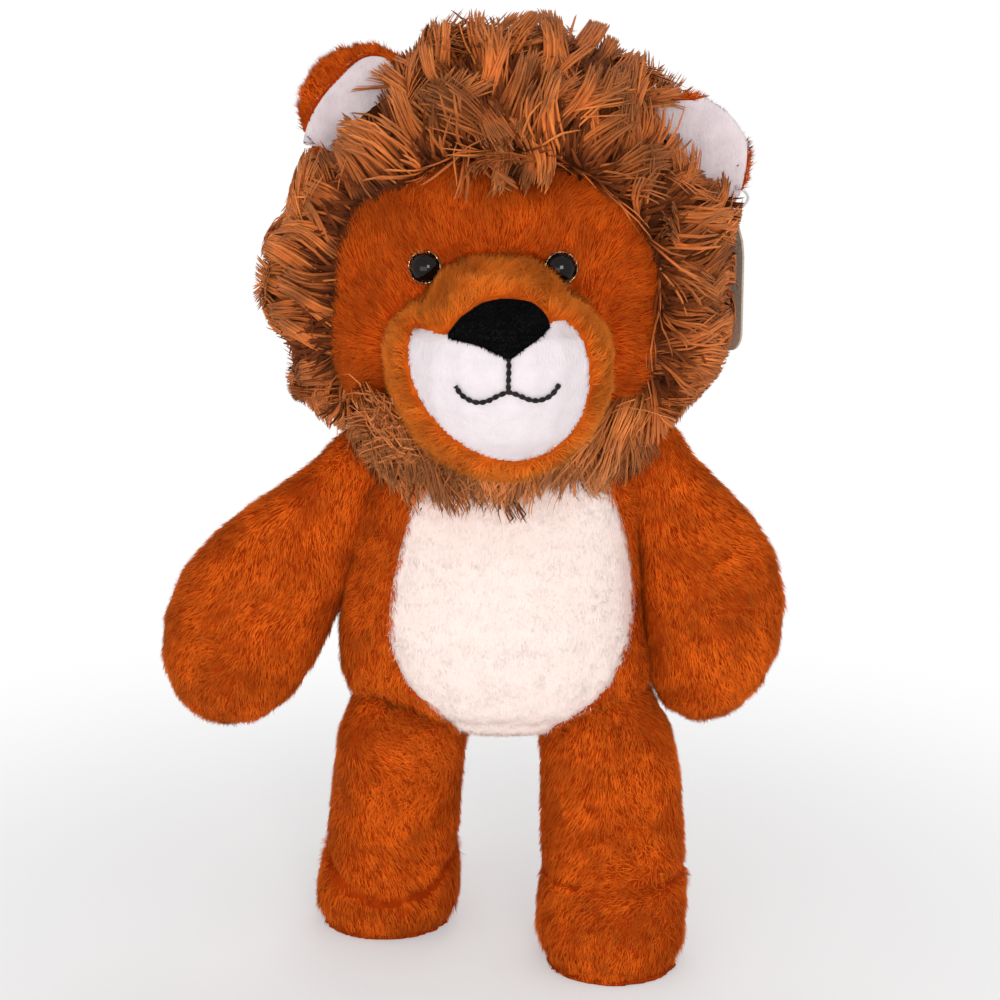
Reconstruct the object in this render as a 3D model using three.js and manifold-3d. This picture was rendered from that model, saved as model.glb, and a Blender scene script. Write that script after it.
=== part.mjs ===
// A plush lion that stands on its two feet, built as it is sewn: cloth panels over stuffing, with a
// long-pile mane, safety eyes held by washers, and a plain swing tag. Millimetres, +Z up, the face
// looks along -Y, and left and right are the lion's own, so its left is at +X.
import * as THREE from "three";
import { mergeVertices } from "three/addons/utils/BufferGeometryUtils.js";
import Module from "manifold-3d";

const wasm = await Module();
wasm.setup();
const degree = Math.PI / 180;

// Cloth and clearances
const cloth = 2.2; // thickness of a sewn panel
const gap = 0.35; // between pieces that touch
const jointGap = 0.9; // between a limb and the body that it moves past
const overrun = 300; // how far a cutting tool runs past what it cuts
const coarse = 0.5; // share of a cover's rings and points that its stuffing keeps

// Torso: a pear, widest over the hips
const torso = {
  height: 144,
  halfWidth: 63,
  halfDepth: 44,
  forward: 6, // how far its middle stands in front of the ankles' mean line
  sides: 24,
  levels: 12,
  bluntBottomShare: 3.5,
  bluntTopShare: 2.4,
};
// Up the torso: height, width, depth, sideways sway and forward sway
const torsoShares = [
  [0, 1.06, 0.92, 0.02, 0],
  [0.36, 1.0, 1.0, -0.08, 0.03],
  [0.6, 0.95, 0.94, -0.06, 0.02],
  [0.82, 0.94, 0.86, 0.01, 0],
  [1, 0.93, 0.8, 0.02, 0],
];
// Pale panel, rise from the torso's bottom
const belly = { halfWidth: 49, height: 112, rise: 11, aside: 2, samples: 26 };
// Round the belly panel from its lowest point: across and up
const bellyShares = [
  [0, 0], [0.42, 0.03], [0.76, 0.16], [1, 0.44], [0.97, 0.72], [0.84, 0.93], [0.4, 1],
  [-0.4, 1], [-0.84, 0.93], [-1, 0.7], [-1, 0.42], [-0.78, 0.16], [-0.4, 0.03],
];

// Legs
const hipHeight = 92; // of the hip's centre over the floor
const hipSpread = 44; // of each hip's centre from the torso's middle
const hipForward = 8;
const crotchDrop = 4; // the torso's lowest point under the hips' centres
const leg = { ball: 24, ballSides: 20, ballLevels: 10, halfWidth: 28.5, halfDepth: 30, neck: 0.86, sides: 16 };
// Down the leg from the hip: height, width and depth
const legShares = [
  [0.12, 0.85, 0.81], [0.38, 0.88, 0.82], [0.62, 0.9, 0.86],
  [0.76, 0.98, 0.96], [0.9, 1.0, 1.0], [0.98, 0.95, 0.95], [1, 0.88, 0.88],
];
const crease = { height: 38, slope: 24 }; // seam between leg and foot, degrees down towards the toe
const legSides = {
  left: { side: 1, outward: 3, forward: 39 }, // where its foot stands from its hip
  right: { side: -1, outward: 9, forward: -10 },
};
// Directions from straight down that a leg can take, and the rows of its room in shares of its ball
const legSweep = { back: -15, front: 75, steps: 8, rows: [0.5, 1, 1.5, 2.2, 3] };

// Arms
const shoulderSpread = 57.2;
// The arm turns on its ball, in a pit of the torso
const arm = {
  ball: 11.5,
  ballSides: 12,
  ballLevels: 8,
  pit: 19.5,
  pitLevels: 10,
  length: 131,
  halfWidth: 27.5,
  halfDepth: 20,
  sides: 16,
};
// Down the arm from the shoulder: height, width and depth
const armShares = [
  [0.1, 0.45, 0.56], [0.22, 0.56, 0.66], [0.36, 0.74, 0.8], [0.5, 0.89, 0.92], [0.66, 1.0, 1.0],
  [0.8, 0.96, 0.98], [0.91, 0.74, 0.78], [0.98, 0.36, 0.42],
];
const armSides = {
  left: { side: 1, drop: 15, hang: 15.6, bow: 13 }, // drop from the torso's top, degrees out
  right: { side: -1, drop: 20, hang: 34.5, bow: 5 },
};

// Neck and head
// seat: play of the ball, sink: under the torso's top, nod: furthest forwards, lift: slope of the head's underside
const neck = { ball: 24, seat: 0.95, sink: 6, sides: 16, levels: 8, nod: 15, lift: 14 };
const skull = { rise: 61, halfWidth: 68, halfDepth: 62, halfHeight: 66, forward: 4, sides: 24, levels: 12 };
const face = { halfWidth: 63, halfHeight: 60, sides: 24 }; // opening of the mane
const mane = { halfWidth: 93, halfDepth: 70, halfHeight: 92, rise: 67, back: 6, seam: 12, sides: 28, levels: 12 };
const muzzle = {
  halfWidth: 40,
  halfDepth: 42,
  halfHeight: 38.5,
  drop: 19.5,
  ahead: 54,
  aside: 4,
  sides: 20,
  levels: 10,
  samples: 28,
};

// White patch of the muzzle, round from the chin: across and up, of the muzzle's half sizes
const patchShares = [
  [0, -0.8], [0.34, -0.74], [0.62, -0.5], [0.82, -0.06], [0.79, 0.3], [0.62, 0.56], [0.1, 0.42],
  [-0.1, 0.42], [-0.74, 0.52], [-0.83, 0.3], [-0.82, -0.06], [-0.62, -0.5], [-0.34, -0.74],
];
// Nose, round from its tip, of the muzzle's half sizes
const noseShares = [
  [0.1, 0.24], [0.28, 0.35], [0.44, 0.46], [0.46, 0.56], [0.3, 0.74], [0.08, 0.79],
  [-0.18, 0.73], [-0.36, 0.58], [-0.5, 0.42], [-0.32, 0.38], [-0.08, 0.34],
];
const noseThickness = 2.6;
const stitch = { radius: 0.75, sides: 6, steps: 9, knot: 1, knotSides: 8, knotLevels: 6 };
// Mouth seams from where they meet under the nose, of the muzzle's half sizes
const mouthShares = [
  [[0.1, 0.2], [0.1, 0.06], [0.1, -0.07]],
  [[0.1, -0.07], [-0.04, -0.2], [-0.24, -0.18], [-0.39, -0.02]],
  [[0.1, -0.07], [0.22, -0.19], [0.4, -0.17], [0.57, -0.0]],
];

// Safety eyes
const eye = {
  radius: 6,
  dome: 4.6,
  domeSteps: 5,
  shank: 1.9,
  shankLength: 9,
  shankSides: 8,
  spread: 26.8,
  rise: 17.5,
  sides: 16,
  roomSides: 12,
};
const rim = { width: 1.2, height: 1.1 };
const washer = { radius: 5.6, thickness: 1.6 };

// Ears: flat pockets that stand in the mane
// behind: share of the skull's half depth from its middle, rows: of the cut between lining and back
const ear = {
  height: 53,
  halfWidth: 27,
  thickness: 8,
  base: 67,
  dish: 5,
  behind: 0.16,
  sides: 16,
  rows: 9,
  reach: 1.3,
};
// Up the ear from its seam: height and width
const earShares = [[0, 0.6], [0.2, 0.8], [0.42, 0.97], [0.62, 1.0], [0.8, 0.84], [0.92, 0.58], [0.98, 0.3]];
const earSides = {
  left: { bearing: 55 }, // degrees from straight up, towards its own side
  right: { bearing: -38 },
};
const earFold = 12;

// Tail
// hang: degrees out from straight down, aside: degrees towards the right leg, seat: share of the torso's half depth
const tail = { ball: 6.5, radius: 5, length: 66, hang: 20, aside: 38, rise: 24, seat: 0.86, sides: 12, levels: 8 };
const tuft = { length: 34, radius: 11, levels: 8, taper: 1.15, end: 2 }; // taper: past 1, thickest above its middle

// Swing tag on its plastic loop, at the left ear
const tag = {
  width: 42,
  height: 63,
  thickness: 1,
  corner: 9,
  hole: 1.15,
  margin: 5,
  standOff: 9,
  bearing: 60,
  rise: 20,
  roundSteps: 5,
};
const loop = { radius: 0.7, halfLength: 17, halfHeight: 6.5, sides: 6, steps: 24 };

const colours = {
  rust: { color: 0xb5521b, roughness: 0.95 },
  muzzle: { color: 0xc06a2a, roughness: 0.95 },
  mane: { color: 0x96592f, roughness: 0.95 },
  white: { color: 0xe9e4e4, roughness: 0.95 },
  cream: { color: 0xf6e6dc, roughness: 0.95 },
  black: { color: 0x141416, roughness: 0.9 },
  glossBlack: { color: 0x0a0a0c, roughness: 0.15 },
  gold: { color: 0xa8843a, roughness: 0.4 },
  plastic: { color: 0xd8d8d4, roughness: 0.5 },
  stuffing: { color: 0xf2f2f0, roughness: 1 },
  card: { color: 0x8c8478, roughness: 0.8 },
};

// Closed surface through rings of equally many points. An end is a point of its own, or the ring's middle.
function loft(rings, first, last) {
  const points = rings.flat();
  const count = rings[0].length;
  const middle = (ring) => ring.reduce((sum, p) => sum.add(p), new THREE.Vector3()).divideScalar(ring.length);
  points.push(first ?? middle(rings[0]), last ?? middle(rings.at(-1)));
  const index = [];
  const top = (rings.length - 1) * count;
  for (let k = 0; k < count; k++) {
    const next = (k + 1) % count;
    for (let i = 0; i < top; i += count) {
      index.push(i + k, i + next, i + count + next, i + k, i + count + next, i + count + k);
    }
    index.push(points.length - 2, next, k, points.length - 1, top + k, top + next);
  }
  return facingOut(new THREE.BufferGeometry().setFromPoints(points).setIndex(index));
}

// The same surface with every face turned round if it encloses a negative volume.
function facingOut(geometry) {
  const [a, b, c] = [new THREE.Vector3(), new THREE.Vector3(), new THREE.Vector3()];
  const places = geometry.attributes.position;
  const index = geometry.index.array;
  let volume = 0;
  for (let i = 0; i < index.length; i += 3) {
    a.fromBufferAttribute(places, index[i]);
    b.fromBufferAttribute(places, index[i + 1]);
    c.fromBufferAttribute(places, index[i + 2]);
    volume += a.dot(b.cross(c));
  }
  if (volume < 0) geometry.setIndex([...index].reverse());
  return geometry;
}

const solidOf = (geometry) => {
  const bare = geometry.clone();
  for (const name of ["normal", "uv"]) bare.deleteAttribute(name);
  const merged = mergeVertices(bare);
  const vertProperties = new Float32Array(merged.attributes.position.array);
  const triVerts = new Uint32Array(merged.index.array);
  return new wasm.Manifold(new wasm.Mesh({ numProp: 3, vertProperties, triVerts }));
};

const geometryOf = (solid) => {
  const { vertProperties, triVerts } = solid.getMesh();
  const places = new THREE.BufferAttribute(new Float32Array(vertProperties), 3);
  return new THREE.BufferGeometry().setAttribute("position", places).setIndex([...triVerts]);
};

const combine = (way) => (geometry, ...tools) =>
  geometryOf(tools.reduce((solid, tool) => solid[way](solidOf(tool)), solidOf(geometry)));
const cut = combine("subtract");
const join = combine("add");
const common = combine("intersect");

const moved = (geometry, x, y, z) => geometry.clone().translate(x, y, z);

// Straight line between the rows of a table whose first column rises with the share asked for.
function rowAt(rows, share) {
  const i = Math.max(1, rows.findIndex((row) => row[0] >= share));
  const [a, b] = [rows[i - 1], rows[i]];
  const t = (share - a[0]) / (b[0] - a[0]);
  return a.slice(1).map((value, k) => THREE.MathUtils.lerp(value, b[k + 1], t));
}

function ellipse(x, y, z, halfWidth, halfDepth, sides) {
  return Array.from({ length: sides }, (_, k) => {
    const turn = (2 * Math.PI * k) / sides;
    return new THREE.Vector3(x + halfWidth * Math.cos(turn), y + halfDepth * Math.sin(turn), z);
  });
}

// Upright soft form: a superellipse in height, shaped by a table of shares. Its bottom is at z = 0.
// A share under 1 keeps only that share of its rings and of their points.
function pod(form, shares, grow = 0, share = 1) {
  const rings = [];
  const levels = form.levels * share;
  for (let i = 1; i < levels; i++) {
    const up = (1 - Math.cos((Math.PI * i) / levels)) / 2;
    const blunt = up < 0.5 ? form.bluntBottomShare : form.bluntTopShare;
    const round = (1 - Math.abs(2 * up - 1) ** blunt) ** (1 / blunt);
    const [width, depth, aside, ahead] = rowAt(shares, up);
    rings.push(
      ellipse(
        aside * form.halfWidth,
        -ahead * form.halfDepth,
        up * (form.height + 2 * grow) - grow,
        (form.halfWidth * width + grow) * round,
        (form.halfDepth * depth + grow) * round,
        form.sides * share,
      ),
    );
  }
  return loft(rings, new THREE.Vector3(0, 0, -grow), new THREE.Vector3(0, 0, form.height + grow));
}

// Ellipsoid about its own middle.
function egg({ halfWidth, halfDepth, halfHeight, sides, levels }, grow = 0, share = 1) {
  const unit = new THREE.SphereGeometry(1, sides * share, levels * share).rotateX(Math.PI / 2);
  return unit.scale(halfWidth + grow, halfDepth + grow, halfHeight + grow);
}

const sphere = (radius, sides, levels) => egg({ halfWidth: radius, halfDepth: radius, halfHeight: radius, sides, levels });

// Prism along Y through an outline in X and Z, from one y to another.
function prism(around, from, to) {
  const shape = new THREE.Shape(around.map(([x, z]) => new THREE.Vector2(x, z)));
  const block = new THREE.ExtrudeGeometry(shape, { depth: to - from, bevelEnabled: false });
  return block.rotateX(Math.PI / 2).translate(0, to, 0);
}

// Closed smooth outline through a few points in X and Z, moved outwards by a growth.
function outline(shares, across, up, samples, grow = 0) {
  const points = shares.map(([x, z]) => new THREE.Vector3(x * across, z * up, 0));
  const curve = new THREE.CatmullRomCurve3(points, true, "centripetal");
  const around = curve.getPoints(samples).slice(0, samples);
  return around.map((point, k) => {
    const along = around[(k + 1) % samples].clone().sub(around[(k + samples - 1) % samples]).normalize();
    return [point.x + grow * along.y, point.y - grow * along.x];
  });
}

// Half space beside a plane through a point, on the side that its normal points to.
function halfSpace(normal, point) {
  const box = new THREE.BoxGeometry(2 * overrun, 2 * overrun, overrun).translate(0, 0, overrun / 2);
  const turn = new THREE.Quaternion().setFromUnitVectors(new THREE.Vector3(0, 0, 1), normal.clone().normalize());
  return box.applyQuaternion(turn).translate(point.x, point.y, point.z);
}

const front = new THREE.Vector3(0, -1, 0);
const up = new THREE.Vector3(0, 0, 1);

// The two halves of a shell either side of a seam plane, a gap apart.
function halves(shell, normal, point) {
  const step = normal.clone().normalize().multiplyScalar(gap / 2);
  return [
    common(shell, halfSpace(normal, point.clone().add(step))),
    common(shell, halfSpace(normal.clone().negate(), point.clone().sub(step))),
  ];
}

// Limb from its ball at the origin down to its end. Rows give height, width and depth shares.
function limb({ ball, halfWidth, halfDepth, sides }, length, rows, centreAt, grow = 0, share = 1) {
  const rings = [];
  const radius = ball + grow;
  for (const turn of [45 * degree, 90 * degree]) {
    const wide = radius * Math.sin(turn);
    rings.push(ellipse(0, 0, radius * Math.cos(turn), wide, wide, sides * share));
  }
  for (const [down, width, depth] of rows) {
    const [x, y] = centreAt(down);
    const low = -down * (length + grow);
    rings.push(ellipse(x, y, low, halfWidth * width + grow, halfDepth * depth + grow, sides * share));
  }
  const [x, y] = centreAt(1);
  return loft(rings, new THREE.Vector3(0, 0, radius), new THREE.Vector3(x, y, -(length + grow)));
}

const legForm = (at, grow, share) =>
  limb(leg, hipHeight, legShares, (down) => [at.side * at.outward * down, -at.forward * down], grow, share);

const armForm = (at, grow, share) =>
  limb(arm, arm.length, armShares, (down) => [at.side * at.bow * (4 * down * (1 - down)) ** 1.5, 0], grow, share);

// What a leg sweeps between its two furthest directions, about its hip at the origin.
function legRoom(at) {
  const rows = legSweep.rows.map((share) => share * leg.ball);
  const reach = leg.halfWidth * leg.neck + jointGap;
  const rings = [];
  for (let i = 0; i <= legSweep.steps; i++) {
    const turn = THREE.MathUtils.lerp(legSweep.back, legSweep.front, i / legSweep.steps) * degree;
    const place = (x, radius) => new THREE.Vector3(x, -radius * Math.sin(turn), -radius * Math.cos(turn));
    const shift = (radius) => (at.side * at.outward * radius) / hipHeight;
    rings.push([
      ...rows.map((radius) => place(shift(radius) + reach, radius)),
      ...rows.toReversed().map((radius) => place(shift(radius) - reach, radius)),
    ]);
  }
  const lean = Math.atan2(at.forward, hipHeight) / degree;
  const limits = [legSweep.back, legSweep.front].map((turn) =>
    legForm(at, jointGap).rotateX((lean - turn) * degree),
  );
  return [loft(rings), sphere(leg.ball + jointGap, leg.ballSides, leg.ballLevels), ...limits];
}

const root = new THREE.Group();
const material = (name) => new THREE.MeshStandardMaterial({ ...colours[name], metalness: 0 });

function add(group, name, geometry, finish) {
  const plain = geometry.index ? geometry.toNonIndexed() : geometry.clone();
  plain.computeVertexNormals();
  const mesh = new THREE.Mesh(plain, material(finish));
  mesh.name = name;
  group.add(mesh);
  return mesh;
}

function groupAt(parent, x, y, z, turn = {}) {
  const group = new THREE.Group();
  group.position.set(x, y, z);
  group.rotation.set((turn.x ?? 0) * degree, (turn.y ?? 0) * degree, (turn.z ?? 0) * degree);
  parent.add(group);
  return group;
}

// A geometry in a group's frame, given in the part's frame.
const inPart = (group, geometry) => {
  root.updateMatrixWorld(true);
  return geometry.clone().applyMatrix4(group.matrixWorld);
};

// Places that the pieces share
const torsoBottom = hipHeight - crotchDrop;
const torsoTop = torsoBottom + torso.height;
const neckPlace = new THREE.Vector3(0, -torso.forward, torsoTop - neck.sink);
const hips = {};
const shoulders = {};
const armTurn = {};
for (const [name, at] of Object.entries(legSides)) {
  hips[name] = groupAt(root, at.side * hipSpread, -hipForward, hipHeight);
}
for (const [name, at] of Object.entries(armSides)) {
  shoulders[name] = groupAt(root, at.side * shoulderSpread, -torso.forward, torsoTop - at.drop);
  armTurn[name] = groupAt(shoulders[name], 0, 0, 0, { y: -at.side * at.hang });
}
const headGroup = groupAt(root, neckPlace.x, neckPlace.y, neckPlace.z);

// Legs and feet
function makeLegs() {
  for (const [name, at] of Object.entries(legSides)) {
    const hip = hips[name];
    const outer = legForm(at, 0);
    const inner = legForm(at, -cloth);
    const core = legForm(at, -cloth - gap, coarse);
    const floor = new THREE.Vector3(0, 0, cloth - hipHeight);
    const aboveSole = halfSpace(up, floor.clone().setZ(floor.z + gap));
    const shell = common(cut(outer, inner), aboveSole);
    const foot = new THREE.Vector3(at.side * at.outward, -at.forward, crease.height - hipHeight);
    const rise = new THREE.Vector3(0, -Math.sin(crease.slope * degree), Math.cos(crease.slope * degree));
    const [upper, lower] = halves(shell, rise.clone().setY(-rise.y), foot);
    const lean = new THREE.Vector3(0, -hipHeight, at.forward);
    const [ahead, behind] = halves(upper, lean, new THREE.Vector3(0, 0, 0));
    add(hip, name + "_leg_front_cover", ahead, "rust");
    add(hip, name + "_leg_back_cover", behind, "rust");
    add(hip, name + "_foot_cover", lower, "rust");
    add(hip, name + "_sole", cut(outer, halfSpace(up, floor)), "rust");
    add(hip, name + "_leg_stuffing", common(core, aboveSole), "stuffing");
  }
}

// Arms: a shoulder ball of loose stuffing turns in the top of each sleeve
function makeArms() {
  for (const [name, at] of Object.entries(armSides)) {
    const group = armTurn[name];
    const outer = armForm(at, 0);
    const inner = armForm(at, -cloth);
    const [ahead, behind] = halves(cut(outer, inner), front, new THREE.Vector3());
    const ball = arm.ball - cloth - 3 * gap;
    const above = halfSpace(up, new THREE.Vector3());
    const bare = sphere(ball + 2 * gap, arm.ballSides, arm.ballLevels);
    const core = cut(armForm(at, -cloth - gap, coarse), bare, above);
    add(group, name + "_arm_front_cover", ahead, "rust");
    add(group, name + "_arm_back_cover", behind, "rust");
    add(group, name + "_arm_stuffing", core, "stuffing");
    add(shoulders[name], name + "_shoulder_stuffing", sphere(ball, arm.ballSides, arm.ballLevels), "stuffing");
  }
}

// Torso, hollowed for the hips, the shoulders, the neck's ball and the head's nod
function makeTorso() {
  const place = (geometry) => moved(geometry, 0, -torso.forward, torsoBottom);
  const rooms = [];
  for (const [name, at] of Object.entries(legSides)) {
    for (const room of legRoom(at)) rooms.push(inPart(hips[name], room));
  }
  for (const [name, at] of Object.entries(armSides)) {
    rooms.push(inPart(armTurn[name], sphere(arm.pit, arm.sides, arm.pitLevels)));
  }
  rooms.push(neckRoom().translate(...neckPlace));
  rooms.push(nodRoom());
  const outer = place(pod(torso, torsoShares));
  const inner = place(pod(torso, torsoShares, -cloth));
  const core = place(pod(torso, torsoShares, -cloth - 2 * gap, coarse));
  const shell = cut(outer, inner);
  const [ahead, behind] = halves(shell, front, new THREE.Vector3(0, -torso.forward, 0));
  const window = (grow) => {
    const around = outline(bellyShares, belly.halfWidth, belly.height, belly.samples, grow);
    const placed = around.map(([x, z]) => [x + belly.aside, z + torsoBottom + belly.rise]);
    return prism(placed, -overrun, -torso.forward);
  };
  add(root, "torso_front_cover", cut(ahead, window(gap), ...rooms), "rust");
  add(root, "belly_panel", cut(common(ahead, window(0)), ...rooms), "cream");
  add(root, "torso_back_cover", cut(behind, ...rooms, tailRoom()), "rust");
  add(root, "torso_stuffing", cut(core, ...rooms, tailRoom()), "stuffing");
}

// Above the torso's shoulders: the cone that the head's underside reaches when it nods furthest.
function nodRoom() {
  const drop = Math.tan((neck.nod + 2) * degree);
  const wide = mane.halfWidth;
  const profile = [
    new THREE.Vector2(0, overrun),
    new THREE.Vector2(0, 0),
    new THREE.Vector2(wide, -wide * drop),
    new THREE.Vector2(wide, overrun),
    new THREE.Vector2(0, overrun),
  ];
  return lathe(profile, neck.sides).translate(...neckPlace);
}

// Solid of revolution about Z of a closed profile whose ends lie on the axis.
const lathe = (profile, sides) => facingOut(welded(new THREE.LatheGeometry(profile, sides).rotateX(Math.PI / 2)));

function welded(geometry) {
  const bare = geometry.clone();
  for (const name of ["normal", "uv"]) bare.deleteAttribute(name);
  const merged = mergeVertices(bare);
  const old = merged.index.array;
  const index = [];
  for (let i = 0; i < old.length; i += 3) {
    const [a, b, c] = old.slice(i, i + 3);
    if (a !== b && b !== c && c !== a) index.push(a, b, c);
  }
  return merged.setIndex(index);
}

// Under the head: below a shallow cone, so that its underside clears the shoulders.
function underHead() {
  const wide = 2 * mane.halfWidth;
  const profile = [
    new THREE.Vector2(0, -overrun),
    new THREE.Vector2(0, 0),
    new THREE.Vector2(wide, wide * Math.tan(neck.lift * degree)),
    new THREE.Vector2(wide, -overrun),
    new THREE.Vector2(0, -overrun),
  ];
  return lathe(profile, neck.sides);
}

const neckRoom = () => sphere(neck.ball + neck.seat, neck.sides, neck.levels);

function makeNeck() {
  add(headGroup, "neck_stuffing", sphere(neck.ball, neck.sides, neck.levels), "stuffing");
}

const skullPlace = [0, -skull.forward, skull.rise];
const skullForm = (grow = 0, share = 1) => moved(egg(skull, grow, share), ...skullPlace);
const muzzleMiddle = new THREE.Vector3(-muzzle.aside / 2, skullPlace[1] - muzzle.ahead, skull.rise - muzzle.drop);
const muzzleForm = (grow = 0, share = 1) =>
  egg(muzzle, grow, share).translate(...muzzleMiddle);

// Prism through the muzzle along Y, from an outline in shares of its half sizes.
function muzzlePrism(shares, samples, grow = 0) {
  const around = outline(shares, muzzle.halfWidth, muzzle.halfHeight, samples, grow);
  const placed = around.map(([x, z]) => [x + muzzleMiddle.x, z + muzzleMiddle.z]);
  return prism(placed, muzzleMiddle.y - overrun, muzzleMiddle.y);
}

// A point on the muzzle's surface, at shares of its half sizes across and up.
function onMuzzle([across, rise], lift) {
  const depth = Math.sqrt(Math.max(0, 1 - across ** 2 - rise ** 2));
  const point = new THREE.Vector3(across * muzzle.halfWidth, -depth * muzzle.halfDepth, rise * muzzle.halfHeight);
  const out = new THREE.Vector3(
    point.x / muzzle.halfWidth ** 2,
    point.y / muzzle.halfDepth ** 2,
    point.z / muzzle.halfHeight ** 2,
  ).normalize();
  return point.addScaledVector(out, lift).add(muzzleMiddle);
}

// Tube along a curve, closed at both ends.
function tube(curve, radius, sides, steps) {
  const ring = new THREE.Shape(
    Array.from({ length: sides }, (_, k) => {
      const turn = (2 * Math.PI * k) / sides;
      return new THREE.Vector2(radius * Math.cos(turn), radius * Math.sin(turn));
    }),
  );
  return new THREE.ExtrudeGeometry(ring, { extrudePath: curve, steps, bevelEnabled: false, curveSegments: 1 });
}

// Face, muzzle, nose and mouth
function makeFace() {
  const { samples } = muzzle;
  const opening = (grow) => {
    const around = ellipse(0, 0, 0, face.halfWidth + grow, face.halfHeight + grow, face.sides);
    return prism(around.map((p) => [p.x, p.y + skull.rise]), -overrun, skullPlace[1]);
  };
  const under = underHead();
  const ball = neckRoom();
  const faceShell = common(cut(skullForm(), skullForm(-cloth)), opening(0));
  const shanks = eyePlaces().map((place) => eyeCut(place));
  const pockets = eyePlaces().map((place) => washerCut(place));
  add(headGroup, "face_cover", cut(faceShell, under, ball, ...shanks), "rust");
  const wad = cut(skullForm(-cloth - gap, coarse), under, ball, ...shanks, ...pockets);
  add(headGroup, "head_stuffing", wad, "stuffing");

  const seat = skullForm(gap);
  const rims = eyePlaces().map((place) => rimRoom(place));
  const shell = cut(muzzleForm(), muzzleForm(-cloth), seat, ...rims);
  add(headGroup, "muzzle_cover", cut(shell, muzzlePrism(patchShares, samples, gap)), "muzzle");
  add(headGroup, "muzzle_patch", common(shell, muzzlePrism(patchShares, samples)), "white");
  add(headGroup, "muzzle_stuffing", cut(muzzleForm(-cloth - gap, coarse), seat, ...rims), "stuffing");
  const skin = cut(muzzleForm(gap + noseThickness), muzzleForm(gap));
  add(headGroup, "nose", common(skin, muzzlePrism(noseShares, samples)), "black");
  const threads = mouthShares.map((line) => {
    const lift = gap + stitch.radius;
    const curve = new THREE.CatmullRomCurve3(line.map((share) => onMuzzle(share, lift)));
    return tube(curve, stitch.radius, stitch.sides, stitch.steps);
  });
  const knotPlace = onMuzzle(mouthShares[1][0], gap + stitch.radius);
  const knot = sphere(stitch.knot, stitch.knotSides, stitch.knotLevels).translate(...knotPlace);
  const sewn = cut(join(knot, ...threads), muzzleForm(gap), muzzlePrism(noseShares, samples, gap));
  add(headGroup, "mouth_stitching", sewn, "black");

  const outer = cut(
    moved(egg(mane), 0, mane.back, mane.rise),
    skullForm(-cloth),
    opening(gap),
    under,
    ball,
    ...earPlaces().map(([name]) => earRoom(name)),
    loopForm(gap),
  );
  const seam = new THREE.Vector3(0, mane.seam, 0);
  const [ahead, behind] = halves(outer, front, seam);
  add(headGroup, "mane_front", ahead, "mane");
  add(headGroup, "mane_back", behind, "mane");
}

// Each eye's place on the face cover and the direction that it looks in
function eyePlaces() {
  return ["left", "right"].map((name) => {
    const side = name === "left" ? 1 : -1;
    const x = side * eye.spread - muzzle.aside;
    const depth = Math.sqrt(1 - (x / skull.halfWidth) ** 2 - (eye.rise / skull.halfHeight) ** 2);
    const point = new THREE.Vector3(x, -depth * skull.halfDepth, eye.rise);
    const out = new THREE.Vector3(
      x / skull.halfWidth ** 2,
      point.y / skull.halfDepth ** 2,
      eye.rise / skull.halfHeight ** 2,
    ).normalize();
    return { name, point: point.add(new THREE.Vector3(...skullPlace)), out };
  });
}

// A solid of revolution set on the face, its axis along the eye's direction. Heights count from the cover.
function onFace({ point, out }, profile, sides = eye.sides) {
  const turn = new THREE.Quaternion().setFromUnitVectors(up, out);
  const points = profile.map(([radius, height]) => new THREE.Vector2(radius, height));
  return lathe(points, sides).applyQuaternion(turn).translate(...point);
}

const seated = 2 * gap;
const washerSeat = cloth + 4 * gap; // under the cover's outside, clear of its curve
const eyeCut = (place) => {
  const radius = eye.shank + gap;
  const deep = -eye.shankLength - gap;
  return onFace(place, [[0, deep], [radius, deep], [radius, cloth], [0, cloth], [0, deep]], eye.shankSides);
};
const washerCut = (place) => {
  const deep = -washerSeat - washer.thickness - gap;
  const radius = washer.radius + gap;
  return onFace(place, [[0, deep], [radius, deep], [radius, cloth], [0, cloth], [0, deep]]);
};
const rimRoom = (place) => {
  const radius = eye.radius + rim.width + 2 * gap;
  const high = seated + eye.dome + gap;
  return onFace(place, [[0, -cloth], [radius, -cloth], [radius, high], [0, high], [0, -cloth]], eye.roomSides);
};

function makeEyes() {
  for (const place of eyePlaces()) {
    const arc = Array.from({ length: eye.domeSteps + 1 }, (_, k) => {
      const turn = (90 * degree * k) / eye.domeSteps;
      return [eye.radius * Math.cos(turn), seated + eye.dome * Math.sin(turn)];
    });
    const { shank, shankLength } = eye;
    arc[eye.domeSteps][0] = 0;
    const dome = [[0, -shankLength], [shank, -shankLength], [shank, seated], ...arc, [0, -shankLength]];
    add(headGroup, place.name + "_eye", onFace(place, dome), "glossBlack");
    const inside = eye.radius + gap;
    const outside = inside + rim.width;
    const crest = [inside + rim.width / 2, seated + rim.height];
    const ring = [[inside, seated], [outside, seated], crest, [inside, seated]];
    add(headGroup, place.name + "_eye_rim", onFace(place, ring), "gold");
    const high = -washerSeat;
    const low = high - washer.thickness;
    const hole = shank + gap;
    const disc = [[hole, low], [washer.radius, low], [washer.radius, high], [hole, high], [hole, low]];
    add(headGroup, place.name + "_eye_washer", onFace(place, disc), "plastic");
  }
}

// Ears
const earPlaces = () => Object.entries(earSides);
function earTurn(name) {
  const at = earSides[name];
  const turn = at.bearing * degree;
  const [x, z] = [ear.base * Math.sin(turn), skull.rise + ear.base * Math.cos(turn)];
  return new THREE.Matrix4().makeRotationY(turn).setPosition(x, skullPlace[1] + skull.halfDepth * ear.behind, z);
}

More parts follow.
